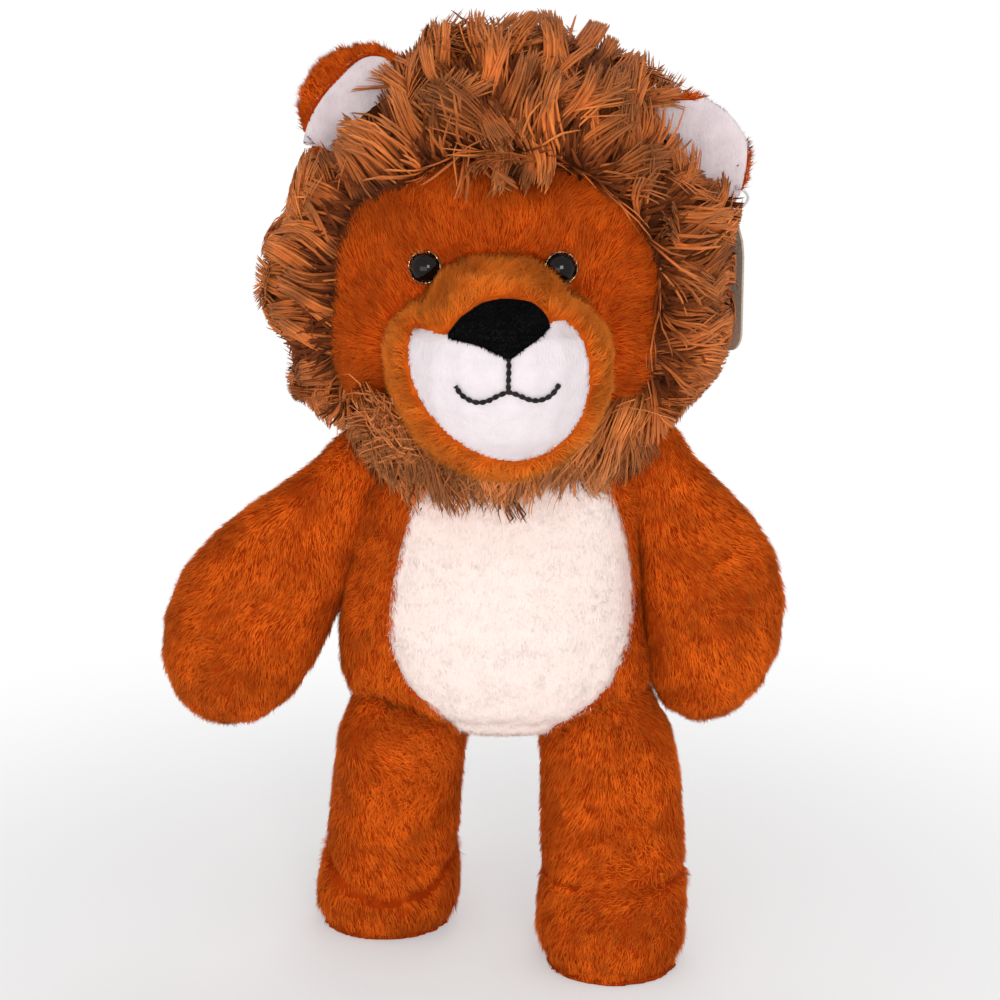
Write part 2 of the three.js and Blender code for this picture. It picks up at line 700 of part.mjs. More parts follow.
// The ear standing on its seam at the origin, facing -Y, dished towards the front.
function earForm() {
  const rings = earShares.map(([rise, width]) => {
    const thick = (ear.thickness / 2) * (rise ? 1 - 0.5 * rise ** 2 : 0.5);
    const ring = ellipse(0, -ear.dish * rise ** 2, rise * ear.height, ear.halfWidth * width, thick, ear.sides);
    return ring.map((p) => p.setY(p.y - ear.dish * (p.x / ear.halfWidth) ** 2));
  });
  return loft(rings, new THREE.Vector3(), new THREE.Vector3(0, -ear.dish, ear.height));
}

// The wedge that the ear folds in, from its seam up.
function earRoom(name) {
  const slope = Math.tan(earFold * degree);
  const rings = earShares.slice(0, 5).map(([rise, width]) => {
    const half = ear.halfWidth * width + 2 * jointGap;
    const tall = rise * ear.height - (rise ? 0 : jointGap);
    const thick = ear.thickness / 2 + 2 * jointGap + slope * rise * ear.height;
    const ahead = -thick - ear.dish * (width ** 2 + rise ** 2);
    const corners = [[half, thick], [-half, thick], [-half, ahead], [half, ahead]];
    return corners.map(([x, y]) => new THREE.Vector3(x, y, tall));
  });
  return loft(rings).applyMatrix4(earTurn(name));
}

// The dished surface between an ear's lining and its back, thick enough to cut with.
function earSplit(ahead) {
  const near = ahead ? -overrun : gap / 2;
  const far = ahead ? -gap / 2 : overrun;
  const rings = Array.from({ length: ear.rows }, (_, i) => {
    const x = ear.halfWidth * ear.reach * ((2 * i) / (ear.rows - 1) - 1);
    const dish = -ear.dish * (x / ear.halfWidth) ** 2;
    const low = -ear.height;
    const high = 2 * ear.height;
    return [
      new THREE.Vector3(x, dish + near, low),
      new THREE.Vector3(x, dish + far, low),
      new THREE.Vector3(x, dish + far, high),
      new THREE.Vector3(x, dish + near, high),
    ];
  });
  return loft(rings);
}

function makeEars() {
  for (const [name] of earPlaces()) {
    const group = new THREE.Group();
    group.applyMatrix4(earTurn(name));
    headGroup.add(group);
    const form = earForm();
    add(group, name + "_ear_lining", common(form, earSplit(true)), "white");
    add(group, name + "_ear_back", common(form, earSplit(false)), "rust");
  }
}

// The plastic loop, in the head's frame: through the tag's hole at its lowest point and in the mane's
// fabric at its inner end, in the upright plane across the card.
function loopForm(grow = 0) {
  const low = tagHole();
  const rings = Array.from({ length: loop.steps }, (_, k) => {
    const turn = (2 * Math.PI * k) / loop.steps;
    const centre = [loop.halfLength * Math.cos(turn), loop.halfHeight * (1 + Math.sin(turn))];
    const go = new THREE.Vector2(-loop.halfLength * Math.sin(turn), loop.halfHeight * Math.cos(turn)).normalize();
    return Array.from({ length: loop.sides }, (_, j) => {
      const angle = (2 * Math.PI * j) / loop.sides;
      const out = (loop.radius + grow) * Math.cos(angle);
      const across = (loop.radius + grow) * Math.sin(angle);
      return new THREE.Vector3(across, centre[0] + out * go.y, centre[1] - out * go.x);
    });
  });
  return torusOf(rings).rotateZ(-tag.bearing * degree).translate(...low);
}

// Closed ring-shaped surface through rings of equally many points.
function torusOf(rings) {
  const count = rings[0].length;
  const total = rings.length * count;
  const index = [];
  for (let i = 0; i < rings.length; i++) {
    for (let k = 0; k < count; k++) {
      const a = i * count + k;
      const b = i * count + ((k + 1) % count);
      const [c, d] = [(a + count) % total, (b + count) % total];
      index.push(a, b, d, a, d, c);
    }
  }
  return facingOut(new THREE.BufferGeometry().setFromPoints(rings.flat()).setIndex(index));
}

// Swing tag: a bare card that hangs behind the mane, touching its pile on the tangent at a bearing
function tagHole() {
  const turn = tag.bearing * degree;
  const normal = new THREE.Vector3(Math.sin(turn), Math.cos(turn), 0);
  const span = Math.hypot(mane.halfWidth * normal.x, mane.halfDepth * normal.y);
  const touch = new THREE.Vector3(
    (mane.halfWidth ** 2 * normal.x) / span,
    (mane.halfDepth ** 2 * normal.y) / span + mane.back,
    mane.rise + tag.rise,
  );
  return touch.addScaledVector(normal, tag.standOff);
}

function makeTag() {
  const { width, height, corner, margin, hole, thickness } = tag;
  const shape = new THREE.Shape();
  const [w, low, high] = [width / 2, margin - height, margin];
  shape.moveTo(-w + corner, low);
  shape.lineTo(w - corner, low);
  shape.absarc(w - corner, low + corner, corner, -90 * degree, 0, false);
  shape.lineTo(w, high - w);
  shape.absarc(0, high - w, w, 0, 180 * degree, false);
  shape.lineTo(-w, low + corner);
  shape.absarc(-w + corner, low + corner, corner, 180 * degree, 270 * degree, false);
  const eyelet = new THREE.Path();
  eyelet.absarc(0, 0, hole, 0, 360 * degree, true);
  shape.holes.push(eyelet);
  const flat = { depth: thickness, bevelEnabled: false, curveSegments: tag.roundSteps };
  const card = new THREE.ExtrudeGeometry(shape, flat);
  const place = tagHole();
  const group = groupAt(headGroup, place.x, place.y, place.z, { z: -tag.bearing });
  add(group, "swing_tag", card.translate(0, 0, -thickness / 2).rotateX(Math.PI / 2), "card");
  add(headGroup, "tag_loop", loopForm(), "plastic");
}

// Tail, held by its ball in the back of the torso
const tailPlace = () => new THREE.Vector3(0, torso.halfDepth * tail.seat - torso.forward, torsoBottom + tail.rise);
const tailStem = (grow) =>
  new THREE.CylinderGeometry(tail.radius + grow, tail.radius + grow, tail.length, tail.sides)
    .rotateX(Math.PI / 2)
    .translate(0, 0, -tail.length / 2);

// Round the tail's ball, and behind it where the stem swings
function tailRoom() {
  const wide = 2 * (tail.radius + jointGap);
  const middle = (tail.length - wide) / 2;
  const slot = new THREE.BoxGeometry(wide, tail.length, tail.length).translate(0, middle, -middle);
  const room = join(sphere(tail.ball + jointGap, tail.sides, tail.levels), slot);
  return room.rotateY(tail.aside * degree).translate(...tailPlace());
}

function makeTail() {
  const group = groupAt(groupAt(root, ...tailPlace(), { y: tail.aside }), 0, 0, 0, { x: tail.hang });
  const cord = join(tailStem(0), sphere(tail.ball, tail.sides, tail.levels));
  add(group, "tail_cover", cord, "rust");
  const rings = [];
  for (let i = 0; i <= tuft.levels; i++) {
    const down = i / tuft.levels;
    const radius = tail.radius + (tuft.radius - tail.radius) * Math.sin(Math.PI * Math.min(1, down * tuft.taper));
    const end = i === tuft.levels ? tuft.end : radius;
    rings.push(ellipse(0, 0, -tail.length - gap - down * tuft.length, end, end, tail.sides));
  }
  add(group, "tail_tuft", loft(rings), "mane");
}

makeLegs();
makeArms();
makeTorso();
makeNeck();
makeFace();
makeEyes();
makeEars();
makeTag();
makeTail();

// The floor under the middle of the whole's box is the origin
const box = new THREE.Box3().setFromObject(root, true);
const middle = box.getCenter(new THREE.Vector3());
root.position.set(-middle.x, -middle.y, -box.min.z);
const lion = new THREE.Group().add(root);

export default lion;
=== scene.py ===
"""Plush lion: cloth skins, sewn pile, mane, face, ears, tail and tag, dressed over the fixed solids."""

from __future__ import annotations

import logging
import math
from collections.abc import Callable, Sequence
from dataclasses import dataclass, replace
from enum import Enum

import bpy
import numpy as np
from mathutils import Euler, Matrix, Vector
from mathutils.bvhtree import BVHTree


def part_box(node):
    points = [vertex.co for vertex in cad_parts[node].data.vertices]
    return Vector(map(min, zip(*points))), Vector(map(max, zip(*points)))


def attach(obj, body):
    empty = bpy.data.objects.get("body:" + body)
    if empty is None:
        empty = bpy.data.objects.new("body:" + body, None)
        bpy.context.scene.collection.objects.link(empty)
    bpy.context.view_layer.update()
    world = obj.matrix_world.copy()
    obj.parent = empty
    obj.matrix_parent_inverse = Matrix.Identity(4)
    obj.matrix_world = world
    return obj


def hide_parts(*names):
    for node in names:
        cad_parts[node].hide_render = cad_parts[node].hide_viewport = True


MM = 0.001
UP = np.array([0.0, 0.0, 1.0])
HALF = 500  # half of the picture's width and height, in spots
CELLS = 32  # random numbers along each side of a grid, before they repeat
MIDDLE = 12.345  # x of the lion's middle plane, in millimetres
FACE_HEIGHT = 287.0  # z of the face's middle
FAR_OUT = -99.0  # how far inside an outline a place counts that is behind all of it
LOG = logging.getLogger("plush_lion")
Array = np.ndarray
Thing = bpy.types.Object
Node = bpy.types.Node
Socket = bpy.types.NodeSocket
Colour = tuple[float, float, float, float]
Screen = tuple[int, int, int]
Place = tuple[float, float, float]
Field = Callable[[Array, Array], Array]  # a direction at each root, from the roots and the normals there
Measure = Callable[[Array], Array]  # one value at each of some places


class Side(Enum):
    """The lion's own sides: its left is at +X."""

    LEFT = 1
    RIGHT = -1

    @property
    def word(self) -> str:
        """The side's name, as the solids spell it."""
        return self.name.lower()


def shade(red: float, green: float, blue: float) -> Colour:
    """Turns a colour as seen on a screen into the linear one that a shader takes.

    Args:
        red, green, blue: parts from 0 to 255.
    Returns:
        The linear colour with full alpha.
    """
    parts = [
        c / 12.92 if c <= 0.04045 else ((c + 0.055) / 1.055) ** 2.4
        for c in (red / 255, green / 255, blue / 255)
    ]
    return parts[0], parts[1], parts[2], 1.0


def unit(vectors: Array) -> Array:
    """Scales each vector to length one."""
    return vectors / np.maximum(np.linalg.norm(vectors, axis=-1, keepdims=True), 1e-9)


def dots(a: Array, b: Array) -> Array:
    """The dot product of each pair of vectors, as a column."""
    return np.sum(a * b, axis=-1, keepdims=True)


def ease(values: Array, low: float, high: float) -> Array:
    """A smooth step from 0 at low to 1 at high."""
    t = np.clip((values - low) / (high - low), 0, 1)
    return t * t * (3 - 2 * t)


@dataclass(frozen=True)
class Lens:
    """The camera, and where it sees a place. Lengths are in millimetres, and the picture is 1000 by 1000."""

    eye: Place = (11.045, -981.55, 430.0)
    target: Place = (11.045, 18.45, 192.7)
    angle: float = 23.912

    @property
    def scale(self) -> float:
        """How many spots one millimetre takes at a distance of one millimetre."""
        return HALF / math.tan(math.radians(self.angle) / 2)

    def axes(self) -> Array:
        """Finds the picture's directions.

        Returns:
            Right, up and forward, one a row.
        """
        forward = unit(np.array(self.target) - np.array(self.eye))
        right = unit(np.cross(forward, UP))
        return np.array([right, np.cross(right, forward), forward])

    def project(self, points: Array) -> Array:
        """Where places are seen.

        Args:
            points: places in millimetres, n by 3.
        Returns:
            Columns and rows of the picture, n by 2.
        """
        aside, above, ahead = ((points - np.array(self.eye)) @ self.axes().T).T
        return np.stack([HALF + aside / ahead * self.scale, HALF - above / ahead * self.scale], axis=1)

    def sight(self, column: float, row: float) -> Vector:
        """The direction in which a spot of the picture is seen."""
        right, up, forward = self.axes()
        return Vector(unit(right * (column - HALF) + up * (HALF - row) + forward * self.scale))


LENS = Lens()


def smooth_line(corners: Sequence[tuple[float, float]], closed: bool = True, rounds: int = 3) -> Array:
    """Rounds a line of a few corners.

    Args:
        corners: the corners, n by 2.
        closed: whether it joins its own start.
        rounds: how many times each corner is cut.
    Returns:
        The points of the rounded line.
    """
    line = np.array(corners, float)
    for _ in range(rounds):
        after = np.roll(line, -1, axis=0) if closed else line[1:]
        before = line if closed else line[:-1]
        cut = np.stack([before * 0.75 + after * 0.25, before * 0.25 + after * 0.75], axis=1)
        cut = cut.reshape(-1, 2)
        line = cut if closed else np.concatenate([line[:1], cut, line[-1:]])
    return line


@dataclass(frozen=True)
class Drawing:
    """A closed outline in the front view, which a panel is cut to. Its corners are spots of the picture."""

    corners: tuple[tuple[float, float], ...]
    deepest: float = 0.0  # the furthest back that it reaches, as y in millimetres
    scale: float = 0.4  # millimetres to a spot

    def inside(self, points: Array) -> Array:
        """Measures places against the outline.

        Args:
            points: places in millimetres, n by 3.
        Returns:
            How far each lies inside it in millimetres, below 0 outside it.
        """
        line = smooth_line(self.corners)
        spots = LENS.project(points)
        best = np.full(len(spots), np.inf)
        within = np.zeros(len(spots), bool)
        for a, b in zip(line, np.roll(line, -1, axis=0)):
            along = b - a
            t = np.clip(((spots - a) @ along) / max(along @ along, 1e-9), 0, 1)
            best = np.minimum(best, np.linalg.norm(spots - a - t[:, None] * along, axis=1))
            crosses = (a[1] > spots[:, 1]) != (b[1] > spots[:, 1])
            at = a[0] + (spots[:, 1] - a[1]) / (b[1] - a[1] if b[1] != a[1] else 1) * along[0]
            within ^= crosses & (spots[:, 0] < at)
        gap = np.where(within, best, -best) * self.scale
        return np.where(points[:, 1] < self.deepest, gap, FAR_OUT)


@dataclass(frozen=True)
class Drift:
    """A smooth random vector field over space, the same each run."""

    size: float
    seed: int

    def at(self, points: Array) -> Array:
        """Reads the field.

        Args:
            points: places in millimetres, n by 3.
        Returns:
            Vectors with parts from -1 to 1, n by 3.
        """
        grid = np.random.default_rng(self.seed).uniform(-1, 1, (CELLS, CELLS, CELLS, 3))
        place = points / self.size + 500.0
        cell = np.floor(place).astype(int)
        t = place - cell
        t = t * t * (3 - 2 * t)
        total = np.zeros(points.shape)
        for corner in np.ndindex(2, 2, 2):
            x, y, z = (t[:, axis] if step else 1 - t[:, axis] for axis, step in enumerate(corner))
            i, j, k = ((cell + corner) % CELLS).T
            total += grid[i, j, k] * (x * y * z)[:, None]
        return total


@dataclass(frozen=True)
class Locks:
    """Scattered points that the strands near each are drawn to, so that pile parts into locks."""

    size: float
    seed: int

    def near(self, points: Array) -> tuple[Array, Array]:
        """Finds each point's lock.

        Args:
            points: places in millimetres, n by 3.
        Returns:
            The middle of each point's lock, n by 3, and the lock's own number from 0 to 1.
        """
        grid = np.random.default_rng(self.seed).uniform(0, 1, (CELLS, CELLS, CELLS, 4))
        cell = np.floor(points / self.size).astype(int)
        best = np.full(len(points), np.inf)
        middle = np.zeros(points.shape)
        number = np.zeros(len(points))
        steps = np.array(np.meshgrid(*[(-1, 0, 1)] * 3)).reshape(3, -1).T
        for step in steps:
            there = cell + step
            i, j, k = (there % CELLS).T
            found = grid[i, j, k]
            spot = (there + found[:, :3]) * self.size
            gap = np.sum((spot - points) ** 2, axis=1)
            nearer = gap < best
            best[nearer] = gap[nearer]
            middle[nearer] = spot[nearer]
            number[nearer] = found[nearer, 3]
        return middle, number


class Skin:
    """A closed smooth surface in millimetres, which cloth is made from and pile grows on."""

    def __init__(self, points: Array, quads: Array) -> None:
        """Keeps the surface.

        Args:
            points: corners, n by 3.
            quads: four corner numbers a face, facing out.
        """
        self.points, self.quads = points, quads
        self.triangles = np.concatenate([quads[:, [0, 1, 2]], quads[:, [0, 2, 3]]])
        self.refresh()

    def refresh(self) -> None:
        """Works the normals out again after the points have moved."""
        a, b, c = (self.points[self.triangles[:, i]] for i in range(3))
        self.cross = np.cross(b - a, c - a)
        normals = np.zeros(self.points.shape)
        for corner in range(3):
            np.add.at(normals, self.triangles[:, corner], self.cross)
        self.normals = unit(normals)
        self._tree = None

    @classmethod
    def over(cls, nodes: Sequence[str], voxel: float, smoothing: int = 6) -> "Skin":
        """Draws one skin over several solids.

        Args:
            nodes: the solids' names.
            voxel: the size of its faces in millimetres.
            smoothing: rounds that take the steps out.
        Returns:
            The skin.
        """
        corners, faces, count = [], [], 0
        for name in nodes:
            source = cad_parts[name].data
            spots = np.empty(len(source.vertices) * 3)
            source.vertices.foreach_get("co", spots)
            source.calc_loop_triangles()
            index = np.empty(len(source.loop_triangles) * 3, int)
            source.loop_triangles.foreach_get("vertices", index)
            corners.append(spots.reshape(-1, 3))
            faces.append(index.reshape(-1, 3) + count)
            count += len(source.vertices)
        mesh = bpy.data.meshes.new("cutting")
        mesh.from_pydata(np.concatenate(corners).tolist(), [], np.concatenate(faces).tolist())
        blank = bpy.data.objects.new("cutting", mesh)
        bpy.context.scene.collection.objects.link(blank)
        remesh = blank.modifiers.new("remesh", "REMESH")
        remesh.mode, remesh.voxel_size = "VOXEL", voxel * MM
        made = bpy.data.meshes.new_from_object(blank.evaluated_get(bpy.context.evaluated_depsgraph_get()))
        points = np.empty(len(made.vertices) * 3)
        made.vertices.foreach_get("co", points)
        quads = np.empty(len(made.loops), int)
        made.loops.foreach_get("vertex_index", quads)
        bpy.data.objects.remove(blank)
        for spent in (mesh, made):
            bpy.data.meshes.remove(spent)
        skin = cls(*cls._largest(points.reshape(-1, 3) / MM, quads.reshape(-1, 4)))
        skin.smooth(smoothing)
        return skin

    @staticmethod
    def _largest(points: Array, quads: Array) -> tuple[Array, Array]:
        """Keeps the shell that reaches furthest out, and drops hollows inside it.

        Args:
            points: corners of every shell.
            quads: faces of every shell.
        Returns:
            The corners and faces of one shell.
        """
        label = np.arange(len(points))
        while True:
            lowest = label[quads].min(axis=1)
            before = label.copy()
            for corner in range(4):
                np.minimum.at(label, quads[:, corner], lowest)
            label = label[label]
            if np.array_equal(before, label):
                break
        names, sizes = np.unique(label, return_counts=True)
        crumb = 40  # the most corners of a shell that is dropped unmeasured
        reach = [np.ptp(points[label == n], axis=0).sum() if s > crumb else 0 for n, s in zip(names, sizes)]
        keep = label == names[int(np.argmax(reach))]
        renumber = np.cumsum(keep) - 1
        return points[keep], renumber[quads[keep[quads[:, 0]]]]

    def smooth(self, rounds: int) -> None:
        """Evens the surface without shrinking it: each round pulls the corners in, and then pushes them out.

        Args:
            rounds: how many times.
        """
        pull, push = 0.5, -0.52
        starts = self.quads.ravel()
        ends = np.roll(self.quads, -1, axis=1).ravel()
        count = np.bincount(starts, minlength=len(self.points))[:, None] * 1.0
        for turn in range(rounds * 2):
            total = np.stack(
                [np.bincount(starts, self.points[ends, axis], len(self.points)) for axis in range(3)],
                axis=1,
            )
            move = total / np.maximum(count, 1) - self.points
            self.points = self.points + move * (pull if turn % 2 == 0 else push)
        self.refresh()

    def shift(self, by: Array) -> None:
        """Moves each point along its normal by its own distance in millimetres."""
        self.points = self.points + self.normals * by[:, None]
        self.refresh()

    def seam(self, first: Sequence[str], second: Sequence[str], depth: float, width: float) -> None:
        """Pulls the skin in along the seam of two panels.

        Args:
            first, second: the solids that meet there.
            depth: how far it is pulled in, in millimetres.
            width: how far to its sides it reaches.
        """
        gap = np.maximum(surface_gap(first, self.points), surface_gap(second, self.points))
        self.shift(-depth * np.exp(-((gap / width) ** 2)))

    @property
    def tree(self) -> BVHTree:
        """A search tree over the surface.

        Returns:
            The tree, made when it is first asked for.
        """
        if self._tree is None:
            self._tree = BVHTree.FromPolygons(self.points.tolist(), self.quads.tolist())
        return self._tree

    def depth(self, points: Array) -> Array:
        """Measures places against the surface.

        Args:
            points: places in millimetres, n by 3.
        Returns:
            How far each lies outside it in millimetres, below 0 inside it.
        """
        found = np.empty(len(points))
        for i, p in enumerate(points.tolist()):
            spot, normal, _, gap = self.tree.find_nearest(p)
            found[i] = gap if (Vector(p) - spot).dot(normal) > 0 else -gap
        return found

    def scatter(self, density: float, seed: int, wanted: Measure | None = None) -> tuple[Array, Array]:
        """Picks places on the surface.

        Args:
            density: places in a square millimetre.
            seed: start of the random numbers.
            wanted: says which places are kept, if not all.
        Returns:
            The places and the normals there.
        """
        random = np.random.default_rng(seed)
        area = np.linalg.norm(self.cross, axis=1) / 2
        count = int(area.sum() * density)
        face = self.triangles[random.choice(len(area), count, p=area / area.sum())]
        share = random.uniform(0, 1, (count, 2))
        over = share.sum(axis=1) > 1
        share[over] = 1 - share[over]
        weights = np.stack([1 - share.sum(axis=1), share[:, 0], share[:, 1]], axis=1)[..., None]
        places = np.sum(self.points[face] * weights, axis=1)
        normals = unit(np.sum(self.normals[face] * weights, axis=1))
        if wanted is None:
            return places, normals
        keep = wanted(places)
        return places[keep], normals[keep]

    def part(self, inside: Measure, thickness: float, lift: float) -> "Skin":
        """Cuts a panel of cloth out of the skin, as a closed sheet.

        Args:
            inside: how far each place lies inside the panel's outline.
            thickness: of the cloth, in millimetres.
            lift: how far its outer face stands off the skin.
        Returns:
            The panel.
        """
        keep = inside(self.points) > 0
        quads = self.quads[keep[self.quads].all(axis=1)]
        used, index = np.unique(quads, return_inverse=True)
        quads = index.reshape(-1, 4)
        points, normals = self.points[used].copy(), self.normals[used]
        count = len(used)
        edges = np.stack([quads, np.roll(quads, -1, axis=1)], axis=-1).reshape(-1, 2)
        keys = edges[:, 0] * count + edges[:, 1]
        rim_edges = edges[~np.isin(keys, edges[:, 1] * count + edges[:, 0])]
        rim = np.unique(rim_edges)
        points[rim] = self._to_outline(points[rim], normals[rim], inside)
        outer = points + normals * lift
        inner = outer - normals * thickness
        sides = np.concatenate([rim_edges[:, ::-1], rim_edges + count], axis=1)
        return Skin(np.concatenate([outer, inner]), np.concatenate([quads, quads[:, ::-1] + count, sides]))

    @staticmethod
    def _to_outline(points: Array, normals: Array, inside: Measure) -> Array:
        """Slides places along the skin to the panel's outline.

        Args:
            points, normals: the places and the skin's normals there.
            inside: how far each place lies inside the outline.
        Returns:
            The moved places.
        """
        probe, longest, flattest = 0.2, 2.5, 0.25
        across = unit(np.cross(normals, UP + np.array([0.01, 0, 0])))
        upwards = np.cross(across, normals)
        for _ in range(3):
            here = inside(points)
            slope_x = (inside(points + across * probe) - here) / probe
            slope_y = (inside(points + upwards * probe) - here) / probe
            steep = np.maximum(slope_x**2 + slope_y**2, flattest)
            step = np.clip(-here / steep, -longest, longest)
            points = points + (across * slope_x[:, None] + upwards * slope_y[:, None]) * step[:, None]
        return points


def put(name: str, points: Array, loops: Array, starts: Array, finish: "Finish") -> Thing:
    """Makes a smooth object from arrays.

    Args:
        name: the piece's name.
        points: corners in millimetres.
        loops: corner numbers, face after face.
        starts: where each face begins in loops.
        finish: what it is made of.
    Returns:
        The object, linked to the scene.
    """
    mesh = bpy.data.meshes.new(name)
    mesh.vertices.add(len(points))
    mesh.vertices.foreach_set("co", (points * MM).ravel())
    mesh.loops.add(len(loops))
    mesh.loops.foreach_set("vertex_index", loops.ravel())
    mesh.polygons.add(len(starts))
    mesh.polygons.foreach_set("loop_start", starts)
    mesh.update(calc_edges=True)
    mesh.polygons.foreach_set("use_smooth", np.ones(len(starts), bool))
    mesh.materials.append(finish.material())
    thing = bpy.data.objects.new(name, mesh)
    bpy.context.scene.collection.objects.link(thing)
    return thing


def mark(mesh: bpy.types.Mesh, name: str, values: Array) -> None:
    """Writes one number at each corner of a mesh, which its finish reads."""
    mesh.attributes.new(name, "FLOAT", "POINT").data.foreach_set("value", values.astype(np.float32))


def fit(
    piece: Thing, body: str, instead_of: Sequence[str] = ()
) -> None:
    """Joins a finished piece to the lion.

    Args:
        piece: what is joined.
        body: the body it moves with.
        instead_of: solids that it stands for.
    """
    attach(piece, body)
    if instead_of:
        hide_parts(*instead_of)
    LOG.info("%s on %s: %d faces", piece.name, body, len(piece.data.polygons))


def sew(
    name: str, skin: Skin, finish: "Finish", body: str, instead_of: Sequence[str],
    panel: Array | None = None,
) -> None:
    """Makes a skin into a stuffed piece of cloth.

    Args:
        name: the piece's name.
        skin: its shape.
        finish: what it is made of.
        body: the body it moves with.
        instead_of: solids that it stands for.
        panel: how far each corner lies inside a panel of another colour, in millimetres.
    """
    thing = put(name, skin.points, skin.quads.ravel(), np.arange(len(skin.quads)) * 4, finish)
    if panel is not None:
        mark(thing.data, "panel", np.clip(panel, -9, 9))
    fit(thing, body, instead_of)


ROOT_DEPTH = 0.6  # how deep under the skin a strand starts, in millimetres
SWIRL_SIZE = 22  # how broad the patches are that pile leans together in, in millimetres
RAGGED = 7.0  # how far locks differ where they are cut to a shape, in millimetres
LOWEST = 0.25  # no strand comes nearer to the floor, in millimetres


